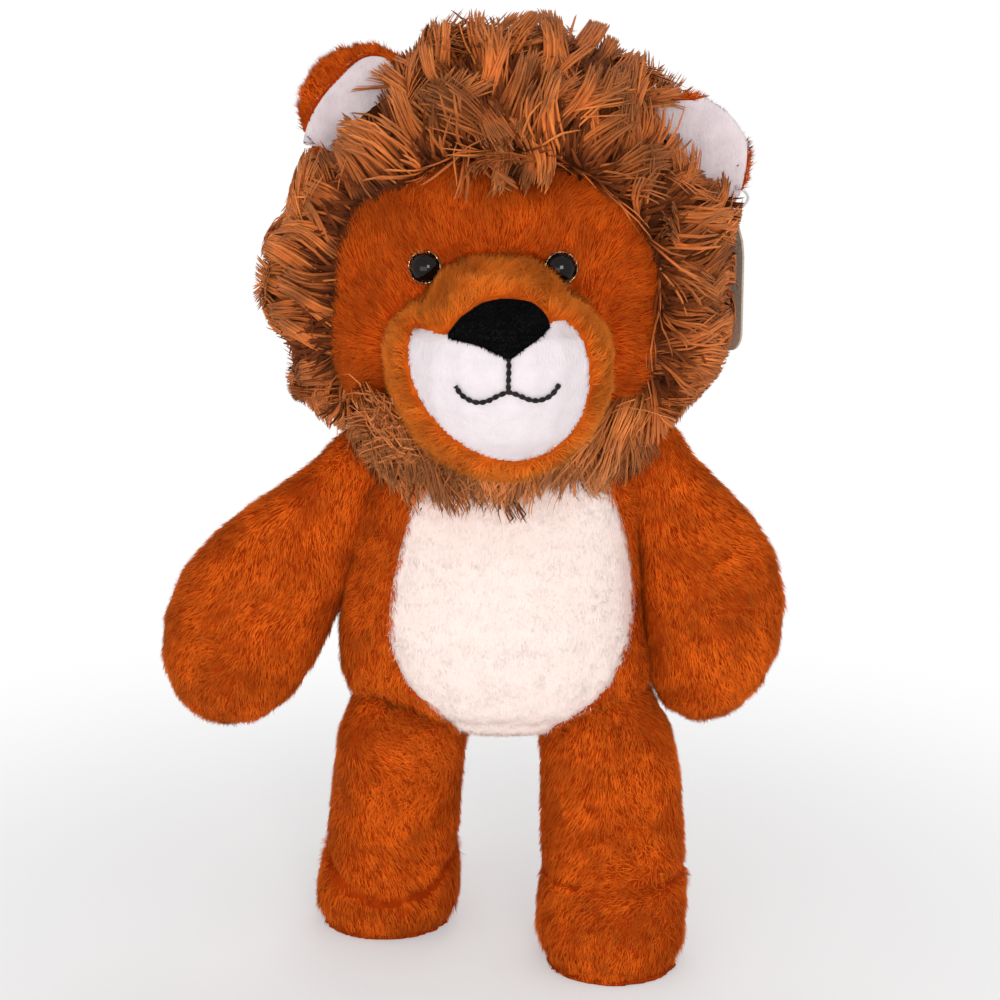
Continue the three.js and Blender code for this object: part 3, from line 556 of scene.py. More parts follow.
@dataclass(frozen=True)
class Pile:
    """How one kind of pile grows. Lengths are in millimetres."""

    length: float
    width: float
    density: float  # strands in a square millimetre
    finish: "Finish"
    segments: int = 1
    rise: float = 0.5  # share of a strand that stands up, at its root
    settle: float = 0.1  # the same at its tip
    droop: float = 0.0  # share that hangs, at its tip
    lock: float = 7.0  # from one lock to the next
    gather: float = 0.45  # how far tips are drawn to their lock's middle
    wander: float = 0.25  # how much each strand leans its own way
    swirl: float = 0.3  # how much whole patches do
    curl: float = 0.0
    waves: float = 1.5  # turns of its curl along a strand
    flat: float = 0.5  # thickness over width
    uneven: float = 0.25  # share by which lengths differ
    soften: float = 0.6  # how far the shading follows the skin below
    unity: float = 0.0  # how far a lock's strands share one direction
    blunt: float = 1.6  # how late a strand narrows
    cap: float = 0.0  # share of a strand after its last ring, if not an even one

    def grow(
        self, name: str, roots: Array, normals: Array, nap: Field, seed: int,
        longer: Array | None = None, trim: Measure | None = None,
    ) -> Thing:
        """Grows strands.

        Args:
            name: the piece's name.
            roots: where they start.
            normals: the skin's normals there.
            nap: the direction they are combed in, given roots and normals.
            seed: start of the random numbers.
            longer: a factor on each strand's length.
            trim: how far places lie inside the shape that the pile is cut to.
        Returns:
            The strands as one object.
        """
        random = np.random.default_rng(seed)
        count, steps = len(roots), self.segments
        middle, number = Locks(self.lock, seed + 2).near(roots)
        shared = roots + (middle - roots) * self.unity
        own = number[:, None] * np.array([91.7, 57.3, 73.9])  # so that each lock leans its own way
        comb = nap(shared, normals) + Drift(SWIRL_SIZE, seed + 1).at(shared) * self.swirl
        comb += np.sin(own) * self.unity**2 * 0.42 + random.normal(0, self.wander, (count, 3))
        comb = unit(comb - normals * dots(comb, normals))
        length = self.length * (1 + random.uniform(-1, 1, count) * self.uneven)
        if longer is not None:
            length = length * longer
        draw = middle - roots
        draw = (draw - normals * dots(draw, normals)) * self.gather
        length = length * (0.84 + 0.32 * number)  # whole locks are longer or shorter too
        rise = self.rise * (0.8 + 0.4 * Locks(self.lock, seed + 3).near(roots)[1])[:, None]
        start = unit(comb + normals * (rise / np.maximum(1 - rise, 0.05)))
        end = unit(comb + normals * self.settle / max(1 - self.settle, 0.05) - UP * self.droop)
        across = unit(np.cross(normals, comb))
        phase = number * 12.0 + random.normal(0, 0.35, count) * (1.1 - self.unity)
        spins = self.waves * (0.7 + 0.6 * np.modf(number * 7.3)[0])
        line = np.empty((count, steps + 1, 3))

        def bent(turn: Array) -> Array:
            """How a curl stands off its strand's middle line, at an angle of its turn."""
            return across * np.sin(turn)[:, None] + normals * np.cos(turn * 1.13)[:, None] * 0.5

        for k, t in enumerate(self._shares()):
            go = start * t + (end - start) * (t * t / 2)
            curl = (bent(2 * math.pi * spins * t + phase) - bent(phase)) * (self.curl * t**0.7)
            line[:, k] = roots - normals * ROOT_DEPTH + go * length[:, None] + draw * t**0.8 + curl
        if trim is not None:
            for _ in range(3):
                over = trim(line[:, -1]) + (number - 0.4) * RAGGED
                reach = np.linalg.norm(line[:, -1] - line[:, 0], axis=1)
                share = np.clip(1 + over / reach, 0.3, 1.0)
                line = line[:, :1] + (line - line[:, :1]) * share[:, None, None]
        line[..., 2] = np.maximum(line[..., 2], LOWEST)
        cropped = np.ones(count) if longer is None else np.minimum(longer, 1.0)
        return self._strands(name, line, normals, random, number, cropped)

    def _shares(self) -> Array:
        """Spaces a strand's rings.

        Returns:
            How far along the strand each ring is, and its tip.
        """
        if self.cap > 0:
            return np.append(np.linspace(0, 1 - self.cap, self.segments), 1.0)
        return np.linspace(0, 1, self.segments + 1)

    def _strands(
        self, name: str, line: Array, normals: Array, random: np.random.Generator, number: Array, cropped: Array
    ) -> Thing:
        """Gives each line a closed three-sided body that narrows to its tip.

        Args:
            name: the piece's name.
            line: the points of each strand, count by steps + 1 by 3.
            normals: the skin's normals at the roots.
            random: source of widths and tints.
            number: each strand's lock.
            cropped: how much of each strand is left, for its colour.
        Returns:
            The strands as one object.
        """
        count, steps = line.shape[0], line.shape[1] - 1
        width = self.width * random.uniform(0.7, 1.3, count)
        shares = self._shares()
        verts = np.empty((count, steps * 3 + 1, 3))
        shading = np.empty_like(verts)
        for k in range(steps):
            along = unit(line[:, k + 1] - line[:, max(k - 1, 0)])
            side = unit(np.cross(normals, along))
            over = np.cross(along, side)
            neck = 0.75 if k == 0 and steps > 2 else 1.0  # a long strand is thinner at its root
            taper = (1 - shares[k] ** self.blunt) * neck
            for j, angle in enumerate((math.pi / 2, math.pi * 7 / 6, math.pi * 11 / 6)):
                out = side * math.cos(angle) + over * (math.sin(angle) * self.flat)
                verts[:, k * 3 + j] = line[:, k] + out * (width * taper / 2)[:, None]
                shading[:, k * 3 + j] = unit(unit(out) * (1 - self.soften) + normals * self.soften)
        verts[:, -1] = line[:, -1]
        ahead = unit(line[:, -1] - line[:, -2])
        shading[:, -1] = unit(ahead * (1 - self.soften) * 0.6 + normals * self.soften)
        loops, starts, uvs = self._pattern(steps)
        offsets = np.arange(count)[:, None]
        corners = (loops[None] + offsets * (steps * 3 + 1)).ravel()
        thing = put(name, verts.reshape(-1, 3), corners, (starts[None] + offsets * len(loops)).ravel(), self.finish)
        mesh = thing.data
        across = math.ceil(math.sqrt(count))
        corner = np.stack([np.arange(count) % across, np.arange(count) // across], axis=1)[:, None]
        layer = mesh.uv_layers.new(name="OFBake")
        margin = 0.06  # of a strand's square in the map, at each side
        squares = (corner + margin + uvs[None] * (1 - 2 * margin)) / across
        layer.uv.foreach_set("vector", squares.ravel().astype(np.float32))
        share = np.append(np.repeat(shares[:-1], 3), 1.0)
        edges = np.append(np.tile([0.0, -1.0, 1.0], steps), 0.0)
        values = {
            "across": np.tile(edges, count),
            "along": (share[None] * cropped[:, None]).ravel(),
            "tint": np.repeat(random.uniform(0, 1, count), steps * 3 + 1),
            "lock": np.repeat(number, steps * 3 + 1),
        }
        for word, value in values.items():
            mark(mesh, word, value)
        mesh.normals_split_custom_set_from_vertices(shading.reshape(-1, 3).tolist())
        return thing

    @staticmethod
    def _pattern(steps: int) -> tuple[Array, Array, Array]:
        """Lays out the faces of one strand.

        Args:
            steps: rings along it.
        Returns:
            The corner numbers, where each face starts, and the corners' places in the strand's square of the map.
        """
        loops: list[int] = []
        starts: list[int] = []
        uvs: list[tuple[float, float]] = []
        for k in range(steps - 1):
            for j in range(3):
                starts.append(len(loops))
                n = (j + 1) % 3
                loops += [k * 3 + j, k * 3 + n, k * 3 + 3 + n, k * 3 + 3 + j]
                low, high = k / steps, (k + 1) / steps
                uvs += [(j / 3, low), ((j + 1) / 3, low), ((j + 1) / 3, high), (j / 3, high)]
        last, low = (steps - 1) * 3, (steps - 1) / steps
        for j in range(3):
            starts.append(len(loops))
            loops += [last + j, last + (j + 1) % 3, steps * 3]
            uvs += [(j / 3, low), ((j + 1) / 3, low), ((j + 0.5) / 3, 1.0)]
        starts.append(len(loops))
        loops += [0, 2, 1]
        uvs += [(0.5 / 3, 1.0), (1.0 / 3, low), (1.5 / 3, 1.0)]
        return np.array(loops), np.array(starts), np.array(uvs)


class Graph:
    """A material's nodes, added and joined by name."""

    def __init__(self, tree: bpy.types.NodeTree) -> None:
        """Starts on an empty tree."""
        self.tree = tree
        tree.nodes.clear()

    def add(self, kind: str, inputs: dict[str, object] | None = None, **settings: object) -> Node:
        """Adds a node.

        Args:
            kind: its type.
            inputs: values or outputs for its named inputs.
            settings: its own properties.
        Returns:
            The node.
        """
        node = self.tree.nodes.new(kind)
        for key, value in settings.items():
            setattr(node, key, value)
        for key, value in (inputs or {}).items():
            socket = node.inputs[key] if isinstance(key, str) else node.inputs[int(key)]
            if isinstance(value, Socket):
                self.tree.links.new(value, socket)
            else:
                socket.default_value = value
        return node

    def blend(self, share: object, first: object, second: object) -> Socket:
        """Mixes two colours.

        Args:
            share: how much of the second, a number or an output.
            first, second: colours or outputs.
        Returns:
            The mixed colour.
        """
        node = self.add("ShaderNodeMix", data_type="RGBA")
        for index, value in ((0, share), (6, first), (7, second)):
            if isinstance(value, Socket):
                self.tree.links.new(value, node.inputs[index])
            else:
                node.inputs[index].default_value = value
        return node.outputs[2]

    def join(self, output: object, node: Node, name: str) -> None:
        """Joins an output to a node's named input."""
        self.tree.links.new(output, node.inputs[name])

    def reads(self, name: str) -> Socket:
        """A number that each corner of the mesh carries."""
        return self.add("ShaderNodeAttribute", attribute_name=name).outputs["Fac"]

    def math(self, way: str, first: object, second: object) -> Socket:
        """Works out two numbers together, in a way such as ADD."""
        return self.add("ShaderNodeMath", {0: first, 1: second}, operation=way).outputs[0]

    def scale(
        self, value: Socket, low: float, high: float, to_low: float = 0.0, to_high: float = 1.0
    ) -> Socket:
        """Carries a value from one range to another, held at its ends.

        Args:
            value: what is carried.
            low, high: the range that it comes from.
            to_low, to_high: the range that it goes to.
        Returns:
            The carried value.
        """
        ends = {"Value": value, "From Min": low, "From Max": high, "To Min": to_low, "To Max": to_high}
        return self.add("ShaderNodeMapRange", ends, interpolation_type="SMOOTHSTEP").outputs[0]

    def noise(self, size: float, detail: float, roughness: float, stretch: Place = (1, 1, 1)) -> Socket:
        """A noise over the piece.

        Args:
            size: of its spots, in millimetres.
            detail, roughness: of the noise.
            stretch: a factor on its scale along each axis.
        Returns:
            Its value, from 0 to 1.
        """
        place = self.add("ShaderNodeTexCoord").outputs["Object"]
        where = self.add("ShaderNodeMapping", {"Vector": place, "Scale": stretch}).outputs[0]
        inputs = {"Vector": where, "Scale": 1000 / size, "Detail": detail, "Roughness": roughness}
        return self.add("ShaderNodeTexNoise", inputs).outputs["Fac"]


def group(
    name: str, sockets: Sequence[tuple[str, str, str]], build: Callable[[Graph, Node, Node], None]
) -> bpy.types.NodeTree:
    """Makes a shader group once.

    Args:
        name: the group's name.
        sockets: each socket's name, whether it goes IN or OUT, and its type.
        build: joins the nodes between the group's input and output.
    Returns:
        The group.
    """
    if name in bpy.data.node_groups:
        return bpy.data.node_groups[name]
    tree = bpy.data.node_groups.new(name, "ShaderNodeTree")
    for word, way, kind in sockets:
        tree.interface.new_socket(name=word, in_out=f"{way}PUT", socket_type=kind)
    graph = Graph(tree)
    build(graph, graph.add("NodeGroupInput"), graph.add("NodeGroupOutput"))
    return tree


def fibre_group() -> bpy.types.NodeTree:
    """Makes the colour of a strand: dark at its root as painted shade, with darker lines between its fine hairs as
    painted shade, each strand and lock a little its own, and patches lighter and darker as painted light and shade of
    pile that leans different ways.

    Returns:
        The group.
    """

    def build(graph: Graph, given: Node, out: Node) -> None:
        """Joins the group's nodes.

        Args:
            graph: the group's nodes.
            given, out: its input and output.
        """
        word = given.outputs
        along, tint, lock, across = (graph.reads(name) for name in ("along", "tint", "lock", "across"))
        # painted shade: each strand is darker towards its root, standing in for the shade inside the pile
        body = graph.blend(graph.scale(along, 0.0, 0.5), word["Root"], word["Body"])
        tipped = graph.blend(graph.scale(along, 0.45, 1.0), body, word["Tip"])
        stray = graph.blend(graph.scale(tint, 0.6, 1.0), tipped, word["Stray"])
        sides = graph.math("MULTIPLY", across, word["Hairs"])
        apart = graph.scale(tint, 0, 1, 0, 60)
        place = graph.add("ShaderNodeCombineXYZ", {"X": sides, "Y": along, "Z": apart}).outputs[0]
        hairs = graph.add("ShaderNodeTexNoise", {"Vector": place, "Scale": 1.6, "Detail": 2.0}).outputs["Fac"]
        # painted light and shade: patches a little lighter and darker over the surface, standing in for pile that
        # leans different ways; each lock's own tone is random
        drift = graph.scale(graph.noise(SWIRL_SIZE, 3, 0.6), 0.3, 0.7, -0.5, 0.5)
        own = graph.scale(lock, 0.0, 1.0, -0.22, 0.22)
        level = graph.math("MULTIPLY", graph.math("ADD", drift, own), word["Mottle"])
        # painted shade: darker lines between the fine hairs of a strand
        lines = graph.math("MULTIPLY", graph.scale(hairs, 0.3, 0.7, 0.0, -1.0), word["Streak"])
        level = graph.math("ADD", graph.math("ADD", level, lines), 1.0)
        shaded = graph.add("ShaderNodeVectorMath", {0: stray, "Scale": level}, operation="SCALE").outputs[0]
        graph.join(shaded, out, "Colour")

    colours = [(name, "IN", "NodeSocketColor") for name in ("Root", "Body", "Tip", "Stray")]
    numbers = [(name, "IN", "NodeSocketFloat") for name in ("Mottle", "Hairs", "Streak")]
    return group("strand_colour", [*colours, *numbers, ("Colour", "OUT", "NodeSocketColor")], build)


def nap_group() -> bpy.types.NodeTree:
    """Makes cropped cloth: colour that drifts over the surface, and the bump of its short fibres.

    Returns:
        The group.
    """

    def build(graph: Graph, given: Node, out: Node) -> None:
        """Joins the group's nodes.

        Args:
            graph: the group's nodes.
            given, out: its input and output.
        """
        dark, light = given.outputs["Dark"], given.outputs["Light"]
        coarse = graph.noise(7, 3, 0.6)
        fine = graph.noise(0.9, 2, 0.6, (1, 1, 0.45))
        colour = graph.blend(graph.scale(coarse, 0.3, 0.7), dark, light)
        colour = graph.blend(graph.scale(fine, 0.35, 0.75, 0.0, 0.5), colour, light)
        height = graph.math("ADD", coarse, fine)
        bump = graph.add("ShaderNodeBump", {"Height": height, "Strength": 0.6, "Distance": 0.0006}).outputs[0]
        graph.join(colour, out, "Colour")
        graph.join(bump, out, "Normal")

    ends = (("Dark", "IN", "Color"), ("Light", "IN", "Color"), ("Colour", "OUT", "Color"), ("Normal", "OUT", "Vector"))
    return group("cropped_nap", [(name, way, f"NodeSocket{kind}") for name, way, kind in ends], build)


@dataclass(frozen=True)
class Finish:
    """What a piece's surface is made of. Its colours are given as a screen shows them."""

    name: str
    slot: str
    roughness: float
    specular: float
    sheen: float = 0.0
    glow: Screen = (255, 255, 255)  # the colour of its sheen

    def material(self) -> bpy.types.Material:
        """Gives the material, and makes it the first time.

        Returns:
            The material.
        """
        found = bpy.data.materials.get(self.name)
        if found:
            return found
        made = bpy.data.materials.new(self.name)
        made.use_nodes = True
        graph = Graph(made.node_tree)
        given = {"Roughness": self.roughness, "Specular IOR Level": self.specular}
        given |= {"Sheen Weight": self.sheen, "Sheen Roughness": 0.4, "Sheen Tint": shade(*self.glow)}
        shader = graph.add("ShaderNodeBsdfPrincipled", given)
        self.paint(graph, shader)
        graph.add("ShaderNodeOutputMaterial", {"Surface": shader.outputs[0]})
        return made

    def paint(self, graph: Graph, shader: Node) -> None:
        """Joins what this finish needs to the shader.

        Args:
            graph: the material's nodes.
            shader: its shader.
        """
        raise NotImplementedError


@dataclass(frozen=True)
class Fibre(Finish):
    """Strands of pile."""

    # the root colour is darker than the rest, as painted shade inside the pile
    colours: tuple[Screen, ...] = ()  # at its root, along it, at its tip and of stray strands
    # how far the painted light and shade of the patches, and each lock's own random tone, move the colour
    mottle: float = 0.3
    hairs: float = 2.0  # fine hairs across a strand
    # painted shade between the fine hairs
    streak: float = 0.1  # how dark the lines between them are

    def paint(self, graph: Graph, shader: Node) -> None:
        """Joins the strand colour to the shader.

        Args:
            graph: the material's nodes.
            shader: its shader.
        """
        given = {word: shade(*colour) for word, colour in zip(("Root", "Body", "Tip", "Stray"), self.colours)}
        given |= {"Mottle": self.mottle, "Hairs": self.hairs, "Streak": self.streak}
        colour = graph.add("ShaderNodeGroup", given, node_tree=fibre_group())
        graph.join(colour.outputs["Colour"], shader, "Base Color")


@dataclass(frozen=True)
class Nap(Finish):
    """Cropped or backing cloth."""

    dark: Screen = (0, 0, 0)
    light: Screen = (0, 0, 0)
    panel: Screen | None = None

    def paint(self, graph: Graph, shader: Node) -> None:
        """Joins the cloth's colour and bump to the shader.

        Args:
            graph: the material's nodes.
            shader: its shader.
        """
        given = {"Dark": shade(*self.dark), "Light": shade(*self.light)}
        made = graph.add("ShaderNodeGroup", given, node_tree=nap_group())
        colour = made.outputs["Colour"]
        if self.panel is not None:
            colour = graph.blend(graph.scale(graph.reads("panel"), -0.15, 0.15), colour, shade(*self.panel))
        graph.join(colour, shader, "Base Color")
        graph.join(made.outputs["Normal"], shader, "Normal")


@dataclass(frozen=True)
class Plastic(Finish):
    """Moulded plastic or board with fine speckles and a slight unevenness."""

    dark: Screen = (0, 0, 0)
    light: Screen = (0, 0, 0)
    grain: float = 1.2
    relief: float = 0.00004

    def paint(self, graph: Graph, shader: Node) -> None:
        """Joins colour and bump to the shader.

        Args:
            graph: the material's nodes.
            shader: its shader.
        """
        fine = graph.noise(self.grain, 3, 0.6)
        colour = graph.blend(graph.scale(fine, 0.3, 0.7), shade(*self.dark), shade(*self.light))
        bump = graph.add("ShaderNodeBump", {"Height": fine, "Strength": 0.4, "Distance": self.relief})
        graph.join(colour, shader, "Base Color")
        graph.join(bump.outputs[0], shader, "Normal")


@dataclass(frozen=True)
class Glitter(Finish):
    """Clear resin full of small gold flakes, each turned its own way."""

    resin: Screen = (0, 0, 0)
    flake: Screen = (0, 0, 0)
    spark: Colour = (1.0, 0.86, 0.5, 1.0)  # the brightest flakes, as the shader takes it
    size: float = 0.6

    def paint(self, graph: Graph, shader: Node) -> None:
        """Joins flakes, their tilt and their shine to the shader.

        Args:
            graph: the material's nodes.
            shader: its shader.
        """
        place = graph.add("ShaderNodeTexCoord").outputs["Object"]
        cells = graph.add("ShaderNodeTexVoronoi", {"Vector": place, "Scale": 1000 / self.size}).outputs["Color"]
        parts = graph.add("ShaderNodeSeparateColor", {"Color": cells}).outputs
        is_flake = graph.scale(parts[0], 0.62, 0.7)
        gold = graph.blend(parts[1], shade(*self.flake), self.spark)
        colour = graph.blend(is_flake, shade(*self.resin), gold)
        tilt = graph.add("ShaderNodeVectorMath", {0: cells, 1: (0.5, 0.5, 0.5)}, operation="SUBTRACT").outputs[0]
        normal = graph.add("ShaderNodeNewGeometry").outputs["Normal"]
        turned = graph.add("ShaderNodeVectorMath", {0: normal, 1: tilt}, operation="ADD").outputs[0]
        turned = graph.add("ShaderNodeVectorMath", {0: turned}, operation="NORMALIZE").outputs[0]
        shader.inputs["Coat Weight"].default_value = 0.5
        graph.join(colour, shader, "Base Color")
        graph.join(is_flake, shader, "Metallic")
        graph.join(turned, shader, "Normal")


RUST = Fibre(
    "rust_strands", "rust_plush", 0.85, 0.08, 0.22, (255, 140, 50),
    colours=((132, 40, 3), (222, 93, 15), (238, 116, 32), (196, 68, 5)), mottle=0.52, streak=0.2,
)
# painted shade: a darker copy of the body's rust pile, for the face
SHADED_FACE_RUST = Fibre(
    "face_strands_painted_shade", "rust_plush", 0.85, 0.08, 0.22, (255, 140, 50),
    colours=((120, 34, 2), (206, 81, 11), (220, 102, 26), (180, 59, 4)), mottle=0.45, streak=0.2,
)
# painted shade: the backing cloth is darker than the pile on it, standing in for the shade between the strands
RUST_SHADED_CLOTH = Nap("rust_cloth_painted_shade", "rust_plush", 0.95, 0.05, dark=(130, 38, 2), light=(172, 58, 5))
# painted shade on the rust part, as above; the cream panel is the belly's own colour
TRUNK_SHADED_CLOTH = Nap(
    "trunk_cloth_painted_shade", "rust_plush", 0.95, 0.05, dark=(130, 38, 2), light=(172, 58, 5), panel=(252, 238, 230),
)
ORANGE = Fibre(
    "muzzle_strands", "muzzle_plush", 0.85, 0.08, 0.5, (255, 150, 55),
    colours=((188, 78, 13), (242, 116, 29), (253, 146, 56), (224, 96, 20)), mottle=0.5, streak=0.3,
)
# painted shade: darker than the muzzle's pile, for the shade between its strands; the white panel is the patch's own
# colour
ORANGE_SHADED_CLOTH = Nap(
    "muzzle_cloth_painted_shade", "muzzle_plush", 0.95, 0.05, dark=(160, 62, 8), light=(205, 90, 18), panel=(230, 220, 223),
)
CREAM = Fibre(
    "cream_strands", "cream_plush", 0.9, 0.05,
    colours=((245, 226, 217), (251, 232, 224), (253, 236, 229), (249, 230, 221)), mottle=0.02, streak=0.02,
)
CREAM_CLOTH = Nap("cream_cloth", "cream_plush", 0.95, 0.05, dark=(244, 225, 216), light=(250, 231, 223))
WHITE = Fibre(
    "white_strands", "white_plush", 0.9, 0.05,
    colours=((222, 212, 215), (230, 220, 223), (234, 225, 227), (226, 216, 219)), mottle=0.04, streak=0.02,
)
WHITE_CLOTH = Nap("white_cloth", "white_plush", 0.95, 0.05, dark=(222, 212, 215), light=(230, 220, 223))
# the ears' lining: a little pinker than the patch's white, and a little darker as painted shade
SHADED_LINING = Fibre(
    "lining_strands_painted_shade", "white_plush", 0.9, 0.05,
    colours=((216, 202, 206), (230, 216, 219), (236, 224, 226), (224, 208, 210)), mottle=0.08, streak=0.04,
)
SHADED_LINING_CLOTH = Nap("lining_cloth", "white_plush", 0.95, 0.05, dark=(214, 200, 204), light=(230, 216, 219))
MANE_HAIR = Fibre(
    "mane_strands", "mane_plush", 0.7, 0.15,
    colours=((108, 50, 17), (214, 113, 51), (198, 116, 64), (234, 134, 64)),
    mottle=0.6, hairs=4.0, streak=0.5,
)
# painted light: a lighter copy of the mane hair, for the beard in the shade under the face
LIT_BEARD_HAIR = Fibre(
    "beard_strands_painted_light", "mane_plush", 0.7, 0.15,
    colours=((142, 70, 27), (234, 134, 67), (224, 142, 86), (246, 150, 78)),
    mottle=0.5, hairs=4.0, streak=0.45,
)
# painted shade: a dark undercoat that fills the gaps between the locks
MANE_SHADE_UNDERCOAT = Fibre(
    "mane_undercoat", "mane_plush", 0.8, 0.1,
    colours=((54, 22, 8), (112, 52, 20), (140, 70, 30), (96, 44, 16)),
    mottle=0.5, hairs=4.0, streak=0.4,
)
# painted shade: the mane's cloth is dark for the shade under the locks
MANE_SHADED_CLOTH = Nap("mane_cloth_painted_shade", "mane_plush", 0.95, 0.05, dark=(60, 26, 10), light=(92, 42, 16))
FLEECE = Fibre(
    "fleece_strands", "black_fleece", 0.9, 0.05,
    colours=((3, 3, 4), (11, 10, 11), (48, 46, 48), (22, 21, 22)), mottle=0.2,
)
FLEECE_CLOTH = Nap("fleece_cloth", "black_fleece", 0.95, 0.03, dark=(3, 3, 4), light=(9, 8, 9))
THREAD = Nap("stitching_thread", "black_thread", 0.7, 0.25, dark=(10, 8, 9), light=(38, 32, 32))
EYE = Plastic("eye_gloss", "eye_plastic", 0.05, 0.2, dark=(6, 3, 3), light=(16, 7, 5), grain=4.0, relief=0.00001)
RIM = Glitter("rim_glitter", "rim_plastic", 0.25, 0.5, resin=(34, 14, 6), flake=(214, 150, 62))
WASHER = Plastic("washer_moulding", "washer_plastic", 0.45, 0.4, dark=(206, 204, 198), light=(228, 226, 220))
LOOP = Plastic("loop_moulding", "loop_plastic", 0.3, 0.45, dark=(206, 208, 208), light=(232, 234, 234))
CARD = Plastic(
    "tag_board", "tag_card", 0.7, 0.3, dark=(176, 160, 142), light=(204, 190, 172), grain=0.8, relief=0.00008,
)


def downwards(lean: Place = (0, 0, -1)) -> Field:
    """A nap that is combed one way all over."""
    return lambda roots, normals: np.tile(np.array(lean, float), (len(roots), 1))


def spread(
    name: str, pile: Pile, skin: Skin, body: str, nap: Field, seed: int, wanted: Measure | None = None,
    longer: Measure | None = None, trim: Measure | None = None, parts: int = 1,
) -> None:
    """Grows pile over a skin, as one or several pieces that each take a sector of it.

    Args:
        name: the pieces' name.
        pile: the kind of pile.
        skin: what it grows on.
        body: the body it moves with.
        nap: the direction it is combed in.
        seed: start of the random numbers.
        wanted: says which roots are kept.
        longer: a factor on the length at each root.
        trim: how far places lie inside the shape that the pile is cut to.
        parts: how many pieces.
    """
    roots, normals = skin.scatter(pile.density, seed, wanted)
    middle = skin.points.mean(axis=0)
    order = np.argsort(np.arctan2(roots[:, 0] - middle[0], -(roots[:, 1] - middle[1])))
    for number, chosen in enumerate(np.array_split(order, parts)):
        word = name if parts == 1 else f"{name}_{number + 1}"
        factor = None if longer is None else longer(roots[chosen])
        fit(pile.grow(word, roots[chosen], normals[chosen], nap, seed + 10, factor, trim), body)


def dress(node: str, finish: "Finish") -> None:
    """Gives a solid that stays its finish.

    Args:
        node: the solid's name.
        finish: what it is made of.
    """
    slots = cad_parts[node].data.materials
    slots.clear()
    slots.append(finish.material())
    LOG.info("%s dressed", node)


def surface_gap(nodes: Sequence[str], points: Array) -> Array:
    """How far points are from the nearest of some solids.

    Args:
        nodes: the solids' names.
        points: places in millimetres.
    Returns:
        Distances in millimetres.
    """
    trees = []
    for name in nodes:
        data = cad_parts[name].data
        faces = [tuple(face.vertices) for face in data.polygons]
        trees.append(BVHTree.FromPolygons([corner.co / MM for corner in data.vertices], faces))
    return np.array([min(tree.find_nearest(p)[3] for tree in trees) for p in points.tolist()])


BODY_PILE = Pile(5.4, 0.62, 1.35, RUST, rise=0.38, gather=0.2, soften=0.8, swirl=1.0, lock=4, unity=0.1, wander=0.3)


@dataclass
class Torso:
    """The stuffed trunk with its cream panel, the wads at neck and shoulders, and the pile over them."""

    voxel: float = 2.6
    full: float = 3.2  # how far its skin stands off the solids
    shoulder: float = 5.0
    hip: float = 3.0
    tuck: float = 7.0  # how far its underside is pulled up
    seam_depth: float = 0.9
    seam_width: float = 4.0
    shag: float = 0.3  # how much longer its lowest pile is
    pile: Pile = BODY_PILE
    fluff: Pile = Pile(3.8, 0.65, 1.9, CREAM, rise=0.28, lock=3, gather=0.1, wander=0.35, swirl=0.2, soften=1.0)
    panel: Drawing = Drawing(
        (
            (440, 470), (416, 492), (408, 520), (400, 550), (391, 590), (388, 625), (393, 655), (408, 685),
            (436, 714), (460, 730), (470, 752), (478, 775), (532, 775), (540, 745), (552, 726), (571, 718),
            (604, 695), (626, 655), (636, 613), (634, 575), (627, 535), (613, 490), (590, 468),
        ),
    )

    def build(self) -> None:
        """Builds every piece of the trunk."""
        nodes = ["torso_front_cover", "torso_back_cover", "torso_stuffing", "belly_panel"]
        skin = Skin.over(nodes, self.voxel)
        self._shape(skin)
        inside = self.panel.inside
        sew("torso_skin", skin, TRUNK_SHADED_CLOTH, "torso", nodes[:3], inside(skin.points) - 1.5)
        sew("belly_cloth", skin.part(inside, 1.4, 0.1), CREAM_CLOTH, "torso", ["belly_panel"])
        spread(
            "torso_pile", self.pile, skin, "torso", downwards(), 11, lambda p: inside(p) < 1.0,
            lambda p: 1 + self.shag * ease(-p[:, 2], -112, -94), parts=4,
        )
        spread("belly_pile", self.fluff, skin, "torso", downwards(), 21, lambda p: inside(p) > 0.2)
        for word in ("neck", "left_shoulder", "right_shoulder"):
            sew(f"{word}_wad", Skin.over([f"{word}_stuffing"], 2.0), RUST_SHADED_CLOTH, word, [f"{word}_stuffing"])

    def _shape(self, skin: Skin) -> None:
        """Fills the trunk out at its shoulders and hips, and pulls it in below and along the panel's seam.

        Args:
            skin: the trunk's skin, which is moved.
        """
        x, _, z = skin.points.T
        # heights in millimetres: shoulders from 175 up, hips from 150 down
        corner = ease(z, 175, 208) * ease(np.abs(x - MIDDLE - 2), 18, 42) * self.shoulder
        low = ease(-z, -150, -115) * ease(np.abs(skin.normals[:, 0]), 0.5, 0.9) * self.hip
        under = ease(-skin.normals[:, 2], 0.35, 0.95) * self.tuck
        skin.shift(self.full + corner + low - under)
        skin.shift(-self.seam_depth * np.exp(-((self.panel.inside(skin.points) / self.seam_width) ** 2)))


